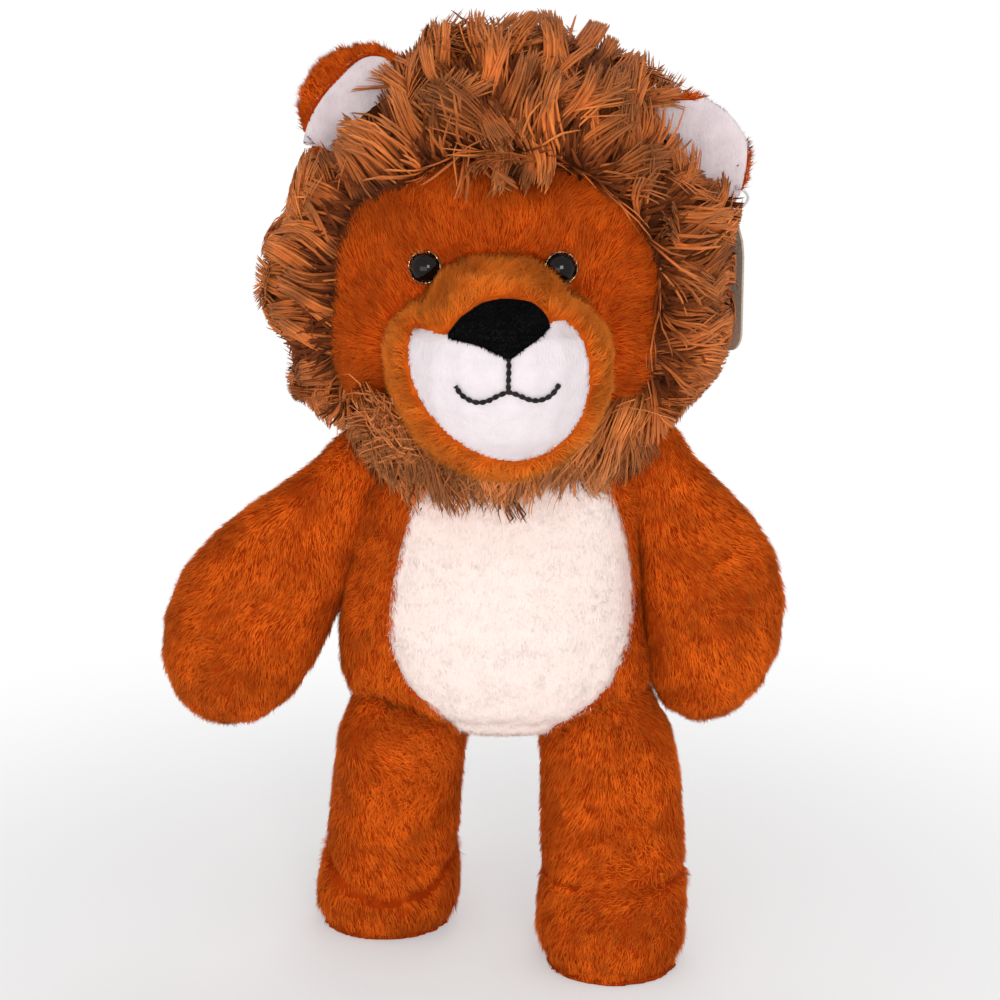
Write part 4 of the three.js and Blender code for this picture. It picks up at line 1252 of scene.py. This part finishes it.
@dataclass
class Arm:
    """A long stuffed arm, cut as a front and a back panel."""

    side: Side
    voxel: float = 2.4
    full: float = 3.2
    left_length: float = 0.93  # the left arm's length over its solid's
    seam_depth: float = 0.8
    seam_width: float = 2.2
    pile: Pile = BODY_PILE

    def build(self) -> None:
        """Builds the arm."""
        left = self.side is Side.LEFT
        body = f"{self.side.word}_arm"
        nodes = [f"{body}_{part}" for part in ("front_cover", "back_cover", "stuffing")]
        skin = Skin.over(nodes, self.voxel)
        z = skin.points[:, 2].copy()
        if left:
            skin.points[:, 2] = z.max() - (z.max() - z) * self.left_length
            skin.refresh()
            z = skin.points[:, 2].copy()
        paw = (1.0 if left else 3.6) * ease(-z, -190 if left else -205, -150)  # fuller towards its end
        outwards = self.side.value * skin.normals[:, 0] + 0.6 * skin.normals[:, 2]
        outer = ease(outwards, 0.1, 0.9) * ease(z, 135, 180) * (4.5 if left else 2.5)
        skin.shift(self.full + paw + outer)
        skin.seam(nodes[:1], nodes[1:2], self.seam_depth, self.seam_width)
        sew(f"{body}_skin", skin, RUST_SHADED_CLOTH, body, nodes)
        lean = (0.4 * self.side.value, -0.05, -1.0)
        spread(f"{body}_pile", self.pile, skin, body, downwards(lean), 31 + self.side.value)


@dataclass
class Leg:
    """A stuffed leg with its foot and sole."""

    side: Side
    voxel: float = 2.4
    full: float = 3.4
    fold: float = 40.0  # height of the fold over the foot, at its sides
    fold_depth: float = 3.6
    fold_width: float = 1.9
    hip: float = 4.0  # how much fuller it is in front, at its top
    toes: float = 3.5
    tuck: float = 4.5  # how far it draws in at the floor
    pile: Pile = BODY_PILE

    def build(self) -> None:
        """Builds the leg."""
        word, body = self.side.word, f"{self.side.word}_leg"
        parts = ("leg_front_cover", "leg_back_cover", "foot_cover", "leg_stuffing", "sole")
        nodes = [f"{word}_{part}" for part in parts]
        skin = Skin.over(nodes, self.voxel, 4)
        self._shape(skin)
        sew(f"{body}_skin", skin, RUST_SHADED_CLOTH, body, nodes[:4])
        sole = skin.part(lambda p: 1.4 - p[:, 2], 1.2, 0.0)
        sew(f"{word}_sole_cloth", sole, RUST_SHADED_CLOTH, body, nodes[4:])
        spread(
            f"{body}_pile", self.pile, skin, body, downwards((0, -0.15, -1)), 41 + self.side.value,
            lambda p: p[:, 2] > 2.5, lambda p: 1 - self._folded(p, 0.45, 1.2),
        )

    def _shape(self, skin: Skin) -> None:
        """Fills the leg out, draws it in at the floor and folds it over the foot.

        Args:
            skin: the leg's skin, which is moved.
        """
        # heights in millimetres: the hip from 62 up, the toes below 34, the floor's edge below 13
        x, _, z = skin.points.T
        ahead = ease(-skin.normals[:, 1], 0.0, 0.7)
        outer = ease(self.side.value * (x - x.mean()), 0, 22)
        outer = outer * (5.0 if self.side is Side.LEFT else 0.5) * ease(z, 8, 40) * (1 - 0.9 * ease(z, 72, 104))
        hip = ease(z, 62, 92) * ahead * self.hip * (1 - ease(z, 94, 110))
        toes = ahead * ease(-z, -34, -12) * self.toes
        tuck = ease(-z, -13, -3) * (1 - np.abs(skin.normals[:, 2])) * self.tuck
        skin.shift(self.full + outer + hip + toes - tuck)
        skin.shift(-self._folded(skin.points, self.fold_depth, self.fold_width))
        skin.points[:, 2] = np.maximum(skin.points[:, 2], 0.2)
        skin.refresh()

    def _folded(self, points: Array, depth: float, width: float) -> Array:
        """Finds the fold over the foot: all round on the right leg, and mostly at the outer side on the left.

        Args:
            points: places in millimetres.
            depth: the fold's depth where it is full.
            width: how far it reaches above and below its middle.
        Returns:
            How deep the fold is at each place.
        """
        left = self.side is Side.LEFT
        slope = 0.05 if left else 0.52
        above = points[:, 2] - self.fold + slope * np.clip(20 - points[:, 1], 0, 45)
        share = 0.3 + 0.7 * ease(points[:, 0] - 59, 2, 16) if left else 1.0
        return share * depth * np.exp(-((above / width) ** 2))


@dataclass
class FaceForm:
    """The face's shape: a full round cushion that stands out to the mane's edge."""

    middle: Place = (9.9, 8.45, 286.5)
    half: Place = (72.5, 60.0, 64.0)
    roundness: float = 2.7

    def draw(self) -> Skin:
        """Draws the face's skin.

        Returns:
            The skin.
        """
        skin = Skin.over(["face_cover", "head_stuffing"], 2.2)
        away = skin.points - np.array(self.middle)
        size = np.sum(np.abs(away / np.array(self.half)) ** self.roundness, axis=1) ** (1 / self.roundness)
        front = ease(-skin.points[:, 1], -26, 2)[:, None]
        skin.points = skin.points + away * (1 / size - 1)[:, None] * front
        skin.smooth(2)
        return skin


@dataclass
class Head:
    """The face, the muzzle with its white patch, the nose and the mouth."""

    face: Skin
    face_pile: Pile = Pile(
        6.0, 0.6, 1.7, SHADED_FACE_RUST, rise=0.38, swirl=0.8, lock=5, gather=0.28, soften=0.7, unity=0.15, wander=0.24
    )
    muzzle_pile: Pile = Pile(
        6.6, 0.6, 2.0, ORANGE, rise=0.5, lock=5, swirl=0.6, gather=0.35, soften=0.62, unity=0.2, wander=0.26
    )
    patch_pile: Pile = Pile(1.6, 0.6, 1.8, WHITE, rise=0.3, lock=3)
    fleece: Pile = Pile(1.7, 0.5, 4.5, FLEECE, rise=0.6, lock=2, wander=0.9, soften=0.3)
    muzzle_middle: Place = (10.345, -45.55, 267.5)
    full: float = 4.0  # how far the muzzle's skin stands off the solids
    top: float = 2.6  # how much less full it is on top
    jowl: float = 5.0  # how far it hangs below
    bridge: float = 4.5  # how far it is drawn in at the sides of its bridge
    rim: float = 1.9  # height of the roll round the patch
    socket: float = 2.6  # how far the face is drawn in round the muzzle
    socket_top: float = 2.4  # how much further above it
    socket_width: float = 5.5
    patch: Drawing = Drawing(
        (
            (412, 327), (424, 328), (442, 334), (462, 334), (508, 342), (540, 326),
            (556, 320), (565, 319), (577, 329), (587, 348), (591, 375), (588, 402), (577, 428), (556, 450),
            (530, 461), (505, 462), (478, 455), (450, 438), (425, 411), (411, 382), (406, 352),
        ),
        -20.0, 0.385,
    )
    nose: Drawing = Drawing(
        (
            (446, 337), (452, 329), (463, 319), (478, 308), (494, 302), (510, 301), (528, 304), (541, 312),
            (548, 322), (547, 331), (537, 341), (522, 350), (511, 360), (504, 358), (490, 350), (472, 344), (456, 341),
        ),
        -20.0, 0.385,
    )

    def build(self) -> None:
        """Builds the head's pieces."""
        face, muzzle = self.face, self._muzzle()
        patch, nose = self.patch.inside, self.nose.inside
        socket = self.socket + self.socket_top * ease(face.points[:, 2], 280, 300)
        face.shift(-socket * np.exp(-((muzzle.depth(face.points) / self.socket_width) ** 2)))
        sew("face_skin", face, RUST_SHADED_CLOTH, "head", ["face_cover", "head_stuffing"])
        snout = ["muzzle_cover", "muzzle_stuffing"]
        sew("muzzle_skin", muzzle, ORANGE_SHADED_CLOTH, "head", snout, patch(muzzle.points) - 1.2)
        sew("muzzle_patch_cloth", muzzle.part(patch, 1.0, 0.1), WHITE_CLOTH, "head", ["muzzle_patch"])
        spread(
            "face_pile", self.face_pile, face, "head", self._outwards, 51,
            lambda p: self._open_face(p, muzzle), parts=2,
        )
        spread("muzzle_pile", self.muzzle_pile, muzzle, "head", self._outwards, 61, self._round_muzzle)
        spread(
            "patch_pile", self.patch_pile, muzzle, "head", downwards(), 71,
            lambda p: (patch(p) > 0.0) & (nose(p) < 0.3),
        )
        pad = muzzle.part(nose, 2.4, 1.7)
        sew("nose_cloth", pad, FLEECE_CLOTH, "head", ["nose"])
        spread("nose_fleece", self.fleece, pad, "head", downwards(), 81, lambda p: muzzle.depth(p) > 0.4)
        self._mouth(muzzle)

    def _muzzle(self) -> Skin:
        """Draws the muzzle: fuller below, with a rolled rim round its white patch.

        Returns:
            The muzzle's skin.
        """
        skin = Skin.over(["muzzle_cover", "muzzle_patch", "muzzle_stuffing"], 1.2)
        _, y, z = skin.points.T
        skin.points[:, 2] = z - self.jowl * ease(-z, -266, -232) * ease(-y, 10, 45)
        skin.refresh()
        skin.shift(self.full - self.top * ease(skin.normals[:, 2], 0.2, 0.9))
        x, _, z = skin.points.T
        skin.shift(-self.bridge * (ease(z, 272, 294) * ease(np.abs(x - self.muzzle_middle[0]), 18, 36)))
        skin.smooth(3)
        inside = self.patch.inside(skin.points)
        rim = np.where(inside < 0, self.rim * np.exp(-(((inside + 3.5) / 3.2) ** 2)), 0.0)
        skin.shift(rim - 0.7 * ease(inside, -1.0, 0.6))
        return skin

    def _round_muzzle(self, points: Array) -> Array:
        """Which places of the muzzle are outside its white patch and its nose."""
        return (self.patch.inside(points) < 0.2) & (self.nose.inside(points) < -1.8) & (points[:, 1] < -20)

    def _outwards(self, roots: Array, normals: Array) -> Array:
        """Combs the face up and away from the muzzle.

        Args:
            roots, normals: the roots, and the skin's normals there, which are not used.
        Returns:
            A direction at each root.
        """
        away = roots - np.array(self.muzzle_middle)
        away[:, 1] *= 0.4
        return unit(away) + UP * 0.35

    def _open_face(self, points: Array, muzzle: Skin) -> Array:
        """Finds the places of the face that show inside the mane and outside the muzzle.

        Args:
            points: places in millimetres.
            muzzle: the muzzle's skin.
        Returns:
            Whether each place shows.
        """
        away = (points - np.array(self.muzzle_middle)) / np.array([44.0, 100.0, 40.0])  # over the muzzle's reach
        keep = points[:, 1] < 8
        near = (away[:, 0] ** 2 + away[:, 2] ** 2 < 1) & keep
        keep[near] = muzzle.depth(points[near]) > -1.5
        return keep

    def _mouth(self, muzzle: Skin) -> None:
        """Sews the mouth: a two-ply thread down the middle and one along each lip.

        Args:
            muzzle: the skin that it is sewn to.
        """
        lines = (
            ((508, 359), (508.5, 368), (508, 380), (508, 391)),
            ((508, 391), (499, 394), (490, 400), (478, 402.5), (467, 398), (461, 392), (457, 385)),
            ((508, 391), (518, 394), (528, 399), (538, 400), (548, 396), (554, 390), (558, 383)),
        )
        raise_by, pitch, ply_offset, ply_radius, sides = 1.25, 5.6, 0.48, 0.58, 8
        corners, loops, starts = [], [], []
        for line in lines:
            path = []
            for column, row in smooth_line(line, False, 4):
                spot, normal, _, _ = muzzle.tree.ray_cast(Vector(LENS.eye), LENS.sight(column, row))
                path.append((np.array(spot) + np.array(normal) * raise_by, np.array(normal)))
            centre = np.array([p for p, _ in path])
            out = np.array([n for _, n in path])
            along = unit(np.gradient(centre, axis=0))
            side = unit(np.cross(along, out))
            length = np.append(0, np.cumsum(np.linalg.norm(np.diff(centre, axis=0), axis=1)))
            for ply in (0, math.pi):
                turn = length / pitch * 2 * math.pi + ply
                core = centre + (side * np.cos(turn)[:, None] + out * np.sin(turn)[:, None]) * ply_offset
                base = sum(len(c) for c in corners)
                angles = [2 * math.pi * j / sides for j in range(sides)]
                ring = [core + (side * math.cos(a) + out * math.sin(a)) * ply_radius for a in angles]
                corners.append(np.stack(ring, axis=1).reshape(-1, 3))
                for k in range(len(core) - 1):
                    for j in range(sides):
                        starts.append(len(loops))
                        a, b = base + k * sides + j, base + k * sides + (j + 1) % sides
                        loops += [a, a + sides, b + sides, b]
                for cap, flip in ((0, 1), (len(core) - 1, -1)):
                    starts.append(len(loops))
                    loops += [base + cap * sides + j for j in range(sides)][::flip]
        thing = put("mouth_thread", np.concatenate(corners), np.array(loops), np.array(starts), THREAD)
        fit(thing, "head", ["mouth_stitching"])


@dataclass
class Eye:
    """A glossy safety eye in its glitter rim, with the washer that holds it inside the head."""

    side: Side
    face: Skin
    radius: float = 6.0
    dome: float = 4.8
    sunk: float = 0.1  # how far its foot lies under the cloth
    root: float = -1.5  # how far its dome goes on below its foot
    rim_width: float = 0.7
    rim_height: float = 1.0
    rim_lift: float = 0.7  # height of the rim's middle over the foot
    sides: int = 48
    rim_sides: int = 12
    left_seen: tuple[float, float] = (561, 268)  # where the eye is in the picture
    right_seen: tuple[float, float] = (425, 267)

    def build(self) -> None:
        """Builds the eye, its rim and its washer."""
        word = self.side.word
        dress(f"{word}_eye_washer", WASHER)
        seen = self.left_seen if self.side is Side.LEFT else self.right_seen
        spot, normal, _, _ = self.face.tree.ray_cast(Vector(LENS.eye), LENS.sight(*seen))
        out = unit(np.array(normal) + np.array([0, -0.25, 0]))  # the eyes look a little more ahead than the face
        side = unit(np.cross(UP, out))
        axes = (np.array(spot) - out * self.sunk, out, side, np.cross(out, side))
        steps = np.linspace(0, math.pi / 2, 14)[:-1]
        dome = [(0.0, self.root), (self.radius * 0.99, self.root)]
        dome += [(self.radius * math.cos(a) ** 0.9, self.dome * math.sin(a)) for a in steps] + [(0.0, self.dome)]
        fit(self._turned(f"{word}_eye_dome", dome, axes, EYE), "head", [f"{word}_eye"])
        half = self.rim_width / 2
        turns = [2 * math.pi * k / self.rim_sides for k in range(self.rim_sides)]
        foot = self.radius + half
        ring = [(foot + half * math.cos(a), self.rim_lift + self.rim_height * math.sin(a)) for a in turns]
        fit(self._turned(f"{word}_eye_glitter", ring, axes, RIM, closed=True), "head", [f"{word}_eye_rim"])

    def _turned(
        self, name: str, profile: list[tuple[float, float]], axes: tuple[Array, ...], finish: Finish,
        closed: bool = False,
    ) -> Thing:
        """Turns a profile about the eye's axis.

        Args:
            name: the piece's name.
            profile: distances from the axis and along it.
            axes: the axis's foot, its direction and two directions across it.
            finish: what it is made of.
            closed: whether the profile joins its own start.
        Returns:
            The turned piece.
        """
        base, out, side, over = axes
        angles = np.linspace(0, 2 * math.pi, self.sides, endpoint=False)
        points, rows = [], []
        for radius, along in profile:
            if radius < 1e-6:
                rows.append([len(points)] * self.sides)
                points.append(base + out * along)
                continue
            rows.append(list(range(len(points), len(points) + self.sides)))
            foot = base + out * along
            points += [foot + (side * math.cos(a) + over * math.sin(a)) * radius for a in angles]
        if closed:
            rows.append(rows[0])
        loops, starts = [], []
        for low, high in zip(rows, rows[1:]):
            for j in range(self.sides):
                n = (j + 1) % self.sides
                face = list(dict.fromkeys([low[j], low[n], high[n], high[j]]))
                if len(face) > 2:
                    starts.append(len(loops))
                    loops += face
        return put(name, np.array(points), np.array(loops), np.array(starts), finish)


@dataclass
class Ear:
    """A flat stuffed ear: rust at its back and rim, white inside."""

    side: Side
    full: float = 0.4
    pile: Pile = Pile(3.8, 0.5, 2.8, RUST, rise=0.45, gather=0.25, lock=5)
    fluff: Pile = Pile(1.8, 0.5, 2.6, SHADED_LINING, rise=0.3, lock=3)
    groove: float = 1.2  # how far its front is drawn in under the lining
    ahead: float = 1.3  # how much nearer to the lining's solid than to the back's a lined place is
    right_lining: Drawing = Drawing(
        (
            (303, 168), (303, 140), (309, 119), (321, 99), (338, 78), (357, 60), (376, 54), (394, 62), (404, 96),
            (414, 140), (384, 190), (340, 204), (310, 190),
        ),
        40.0, 0.43,
    )
    left_lining: Drawing = Drawing(
        (
            (634, 126), (652, 106), (676, 100), (702, 100), (718, 88), (734, 97), (743, 118), (748, 143), (746, 172),
            (738, 200), (722, 219), (690, 224), (646, 180),
        ),
        40.0, 0.43,
    )

    def build(self) -> None:
        """Builds the ear."""
        body = f"{self.side.word}_ear"
        nodes = [f"{body}_back", f"{body}_lining"]
        drawing = self.left_lining if self.side is Side.LEFT else self.right_lining
        skin = Skin.over(nodes, 1.5)
        skin.shift(np.full(len(skin.points), self.full))
        low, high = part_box(nodes[1])
        middle = np.array(low + high) / 2 / MM
        nap = downwards(tuple(unit(middle - np.array([MIDDLE, middle[1], FACE_HEIGHT]))))

        def lined(points: Array) -> Array:
            """How far places lie inside the lining's edge, on the ear's front."""
            front = surface_gap(nodes[1:], points) < surface_gap(nodes[:1], points) - self.ahead
            return np.where(front, drawing.inside(points), -5.0)

        skin.shift(-self.groove * ease(lined(skin.points), -1.0, 2.0))
        sew(f"{body}_skin", skin, RUST_SHADED_CLOTH, body, nodes[:1])
        sew(f"{body}_lining_cloth", skin.part(lined, 1.0, 0.3), SHADED_LINING_CLOTH, body, nodes[1:])
        spread(f"{body}_pile", self.pile, skin, body, nap, 91 + self.side.value, lambda p: lined(p) < 0.3)
        spread(f"{body}_fluff", self.fluff, skin, body, nap, 97 + self.side.value, lambda p: lined(p) > 0.0)


LONG_HAIR = Pile(
    27, 1.3, 0.32, MANE_HAIR, 5, rise=0.38, settle=0.14, droop=0.08, lock=12, gather=0.62, wander=0.05,
    swirl=0.6, curl=3.0, waves=0.55, flat=0.4, uneven=0.08, soften=0.35, unity=0.97, blunt=14, cap=0.07,
)


@dataclass
class Mane:
    """The shaggy mane: its cloth, an undercoat and long matted locks; the cloth and the undercoat are dark as painted
    shade between the locks.
    """

    face: Skin
    middle: Place = (MIDDLE, 18.45, 293.0)
    half: Place = (93.0, 70.0, 92.0)
    # the undercoat's dark colour is painted shade in the gaps between the locks
    under: Pile = Pile(
        14, 2.0, 0.18, MANE_SHADE_UNDERCOAT, 3, rise=0.42, settle=0.2, lock=9, gather=0.4, wander=0.25, curl=0.6, unity=0.6,
        blunt=6, cap=0.1,
    )
    locks: Pile = LONG_HAIR
    fringe: Pile = replace(
        LONG_HAIR, length=26, width=1.2, density=0.34, rise=0.32, settle=0.12, droop=0.5, lock=11, wander=0.06,
        waves=0.6, uneven=0.1, unity=0.96, blunt=12, cap=0.08,
    )
    beard: Pile = replace(
        LONG_HAIR, length=36, density=0.46, finish=LIT_BEARD_HAIR, segments=6, rise=0.3, settle=0.1, droop=0.7, lock=10,
        gather=0.6, wander=0.12, swirl=0.9, curl=4.5, waves=1.1, uneven=0.25, unity=0.85, blunt=8, cap=0.1,
    )
    shape: Drawing = Drawing(
        (
            (356, 446), (338, 426), (322, 410), (300, 396), (293, 380), (296, 352), (288, 334), (270, 320),
            (262, 298), (264, 264), (268, 244), (288, 230), (300, 204), (306, 165), (340, 98), (400, 60),
            (424, 40), (440, 16), (470, 12),
            (520, 13), (570, 20), (615, 29), (650, 50), (680, 80), (732, 122), (738, 190), (736, 212), (729, 232),
            (727, 320), (722, 352), (712, 372), (696, 388), (676, 408), (664, 434), (640, 470), (600, 500), (540, 518),
            (440, 520), (390, 496),
        ),
        300.0, 0.43,
    )
    opening: Drawing = Drawing(
        (
            (406, 148), (384, 166), (366, 192), (346, 232), (333, 280), (333, 308), (340, 334), (358, 366), (384, 401),
            (420, 430), (590, 430), (617, 365), (640, 332), (655, 268), (650, 232), (621, 186), (600, 168),
            (572, 150), (480, 134),
        ),
        40.0, 0.4,
    )
    left_ear: Drawing = Drawing(
        ((640, 150), (642, 118), (655, 85), (690, 72), (718, 92), (748, 122), (755, 155), (738, 195), (722, 210)),
        40.0, 0.43,
    )
    right_ear: Drawing = Drawing(
        ((318, 185), (298, 150), (312, 100), (345, 55), (400, 40), (420, 52), (402, 96), (394, 128), (356, 164)),
        40.0, 0.43,
    )

    def build(self) -> None:
        """Builds the mane."""
        nodes = ["mane_front", "mane_back"]
        skin = Skin.over(nodes, 3.2)
        self._slots(skin)
        sew("mane_skin", skin, MANE_SHADED_CLOTH, "head", nodes)
        cut, combed, outer = self.shape.inside, self._combed, self._outer
        for name, pile, base, nap, seed, wanted, longer, trim, parts in (
            ("undercoat", self.under, skin, combed, 101, outer, self._reach, self._clear, 1),
            ("locks", self.locks, skin, combed, 111, outer, self._reach, self._clear, 3),
            ("fringe", self.fringe, skin, self._hanging, 117, self._low, None, cut, 1),
            ("beard", self.beard, self.face, downwards((-0.1, -0.6, -1)), 119, self._chin, None, cut, 1),
            ("forelock", self.fringe, skin, self._forelocks, 123, self._brow, None, None, 1),
        ):
            spread(f"mane_{name}", pile, base, "head", nap, seed, wanted, longer, trim, parts)

    def _clear(self, points: Array) -> Array:
        """How far places are inside the mane's outline and, in front, clear of the face's opening."""
        front = np.where(points[:, 1] < 10, 5.0 - self.opening.inside(points), -FAR_OUT)
        return np.minimum(self.shape.inside(points), front)

    def _slots(self, skin: Skin) -> None:
        """Presses the mane in where an ear comes out at its front.

        Args:
            skin: the mane's skin, which is moved.
        """
        for drawing, word in ((self.left_ear, "left"), (self.right_ear, "right")):
            low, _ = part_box(f"{word}_ear_lining")
            back = low[1] / MM + 2.0
            share = ease(drawing.inside(skin.points), -8, 3)
            y = skin.points[:, 1]
            skin.points[:, 1] = np.where(y < back, y + (back - y) * share, y)
        skin.smooth(5)

    def _outer(self, points: Array) -> Array:
        """Finds the places on the outside of the mane, clear of the face and the ears.

        Args:
            points: places in millimetres.
        Returns:
            Whether each place is one.
        """
        away = (points - np.array(self.middle)) / np.array(self.half)
        keep = np.linalg.norm(away, axis=1) > 0.9
        for drawing in (self.left_ear, self.right_ear):
            keep &= ~((drawing.inside(points) > -3) & (points[:, 1] < 22))
        keep[keep] = self.face.depth(points[keep]) > 0.5
        return keep

    def _low(self, points: Array) -> Array:
        """Which places are at the mane's lower edge, where the hair hangs on the chest."""
        return (points[:, 2] < 258) & (points[:, 1] < 45) & self._outer(points)

    def _chin(self, points: Array) -> Array:
        """Which places are under the face, where the hair hangs on the chest."""
        x, y, z = points.T
        return (z < 250) & (y < 12) & (y > -52) & (np.abs(x - MIDDLE) < 62)

    def _brow(self, points: Array) -> Array:
        """Which places are along the forehead, where some locks fall forward."""
        x, y, z = points.T
        return (z > 338) & (y < -16) & (np.abs(x - MIDDLE - 1) < 17) & self._outer(points)

    @staticmethod
    def _hanging(roots: Array, normals: Array) -> Array:
        """Combs the lower edge down and a little out."""
        aside = (roots[:, 0] - MIDDLE)[:, None]
        return unit(aside * np.array([1.0, 0, 0]) + np.array([0, -12.0, -55.0]))

    @staticmethod
    def _forelocks(roots: Array, normals: Array) -> Array:
        """Combs the forelocks down over the forehead, this way and that."""
        sway = np.sin(roots[:, 0] * 0.35)[:, None]
        return unit(sway * np.array([0.8, 0, 0]) + np.array([0, -0.8, -0.8]))

    def _combed(self, roots: Array, normals: Array) -> Array:
        """Combs the front out from the face, and the back down from the crown.

        Args:
            roots, normals: the roots, and the skin's normals there, which are not used.
        Returns:
            A direction at each root.
        """
        out = roots - np.array([MIDDLE, 0, FACE_HEIGHT])
        out[:, 1] = 0
        out = unit(out)
        front = out + np.array([0, 0.25, 0])  # swept a little back
        back = out * 0.45 + np.array([0, 0.1, -1.0])
        share = ease(roots[:, 1], 10, 55)[:, None]
        return unit(front * (1 - share) + back * share)

    def _reach(self, roots: Array) -> Array:
        """Sets the hair's length: more at the crown, less behind, and short under the tag.

        Args:
            roots: places in millimetres.
        Returns:
            A factor on the length at each root.
        """
        high = ease(roots[:, 2], 330, 375)
        behind = ease(roots[:, 1], 20, 60)
        low, high_corner = (np.array(corner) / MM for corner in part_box("swing_tag"))
        beside = np.abs(roots - (low + high_corner) / 2) < (high_corner - low) / 2 + np.array([26, 10, 10])
        return (1 + 0.2 * high - 0.25 * behind) * np.where(beside.all(axis=1), 0.42, 1.0)


@dataclass
class Tail:
    """A thin tail with a tuft of mane hair."""

    pile: Pile = Pile(5.0, 0.8, 1.3, RUST)
    tuft: Pile = Pile(20, 1.3, 0.45, MANE_HAIR, 6, rise=0.35, droop=0.2, lock=7, gather=0.7, curl=1.2)

    def build(self) -> None:
        """Builds the tail."""
        hair, under = MANE_SHADED_CLOTH, RUST_SHADED_CLOTH
        for name, pile, finish, seed in (("tail_cover", self.pile, under, 121), ("tail_tuft", self.tuft, hair, 131)):
            skin = Skin.over([name], 1.5)
            sew(f"{name}_skin", skin, finish, "tail", [name])
            spread(f"{name}_pile", pile, skin, "tail", downwards((0, 0.3, -1)), seed)


@dataclass
class SwingTag:
    """The plain board tag and the plastic loop that it hangs on."""

    def build(self) -> None:
        """Dresses the tag and its loop."""
        dress("swing_tag", CARD)
        dress("tag_loop", LOOP)


def facing(way: Vector) -> Euler:
    """The turn that points a lamp or the camera a way, and keeps it upright."""
    return way.to_track_quat("-Z", "Y").to_euler()


@dataclass
class Studio:
    """A pale floor, soft light and the camera."""

    floor_size: float = 6.0  # in metres
    room_light: float = 0.66

    def build(self) -> None:
        """Sets the stage."""
        scene = bpy.context.scene
        scene.view_settings.view_transform = "Standard"
        lens = bpy.data.cameras.new("camera")
        lens.sensor_fit, lens.angle = "HORIZONTAL", math.radians(LENS.angle)
        camera = bpy.data.objects.new("camera", lens)
        camera.location = Vector(LENS.eye) * MM
        camera.rotation_euler = facing(Vector(LENS.target) - Vector(LENS.eye))
        scene.collection.objects.link(camera)
        scene.camera = camera
        self._world(scene)
        self._floor()
        self._lamp("key", (0.25, -1.35, 0.5), 0.36, 5.9)
        self._lamp("fill", (-0.35, -1.2, 0.05), 0.8, 6.0)
        self._lamp("back", (0.2, 1.1, 1.2), 0.8, 5.0)

    def _lamp(self, name: str, place: tuple[float, float, float], size: float, power: float) -> None:
        """Hangs a soft lamp that faces the lion.

        Args:
            name: the lamp's name.
            place: where it hangs, in metres.
            size: its side in metres.
            power: in watts.
        """
        light = bpy.data.lights.new(name, "AREA")
        light.shape, light.size, light.energy = "SQUARE", size, power
        lamp = bpy.data.objects.new(name, light)
        lamp.location = place
        lamp.rotation_euler = facing(Vector((0, 0, 0.2)) - Vector(place))
        bpy.context.scene.collection.objects.link(lamp)

    @staticmethod
    def _seen(graph: Graph) -> Socket:
        """Tells what the camera sees straight, in gloss or through glass.

        Args:
            graph: the material's nodes.
        Returns:
            1 where it is seen so, and else 0.
        """
        path = graph.add("ShaderNodeLightPath").outputs
        first = graph.math("MAXIMUM", path["Is Camera Ray"], path["Is Glossy Ray"])
        return graph.math("MAXIMUM", first, path["Is Transmission Ray"])

    def _world(self, scene: bpy.types.Scene) -> None:
        """Lights the room softly from all sides, and shows it white.

        Args:
            scene: the scene that it is for.
        """
        world = bpy.data.worlds.new("room")
        scene.world = world
        world.use_nodes = True
        graph = Graph(world.node_tree)
        light, white = (
            graph.add("ShaderNodeBackground", {"Color": (1, 1, 1, 1), "Strength": strength}).outputs[0]
            for strength in (self.room_light, 1.0)
        )
        both = graph.add("ShaderNodeMixShader", {0: self._seen(graph), 1: light, 2: white}).outputs[0]
        graph.add("ShaderNodeOutputWorld", {"Surface": both})

    def _floor(self) -> None:
        """Lays a pale floor that keeps the shadow near the lion and runs to white further out."""
        mesh = bpy.data.meshes.new("floor")
        half = self.floor_size / 2
        corners = [(-half, -half, 0), (half, -half, 0), (half, half, 0), (-half, half, 0)]
        mesh.from_pydata(corners, [], [(0, 1, 2, 3)])
        made = bpy.data.materials.new("pale_floor")
        made.use_nodes = True
        graph = Graph(made.node_tree)
        plain = graph.add("ShaderNodeBsdfDiffuse", {"Color": shade(240, 240, 240)}).outputs[0]
        white = graph.add("ShaderNodeEmission", {"Color": (1, 1, 1, 1), "Strength": 1.0}).outputs[0]
        place = graph.add("ShaderNodeTexCoord").outputs["Object"]
        far = graph.add("ShaderNodeVectorMath", {0: place}, operation="LENGTH").outputs["Value"]
        share = graph.math("MULTIPLY", graph.scale(far, 0.16, 0.5, 0.35, 1.0), self._seen(graph))
        both = graph.add("ShaderNodeMixShader", {0: share, 1: plain, 2: white}).outputs[0]
        graph.add("ShaderNodeOutputMaterial", {"Surface": both})
        mesh.materials.append(made)
        floor = bpy.data.objects.new("floor", mesh)
        bpy.context.scene.collection.objects.link(floor)


def main() -> None:
    """Builds the studio and every part of the lion."""
    logging.basicConfig(level=logging.INFO, format="%(message)s")
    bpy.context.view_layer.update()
    face = FaceForm().draw()
    parts = [Studio(), Torso()]
    for side in Side:
        parts += [Arm(side), Leg(side), Eye(side, face), Ear(side)]
    parts += [Head(face), Mane(face), Tail(), SwingTag()]
    for part in parts:
        part.build()
    bpy.context.view_layer.update()


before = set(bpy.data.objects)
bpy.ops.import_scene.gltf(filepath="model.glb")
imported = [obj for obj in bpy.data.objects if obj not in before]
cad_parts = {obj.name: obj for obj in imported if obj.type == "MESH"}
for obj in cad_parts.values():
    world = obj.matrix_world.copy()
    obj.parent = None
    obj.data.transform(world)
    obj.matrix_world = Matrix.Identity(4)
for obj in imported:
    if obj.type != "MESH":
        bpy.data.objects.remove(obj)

if __name__ == "__main__":
    main()
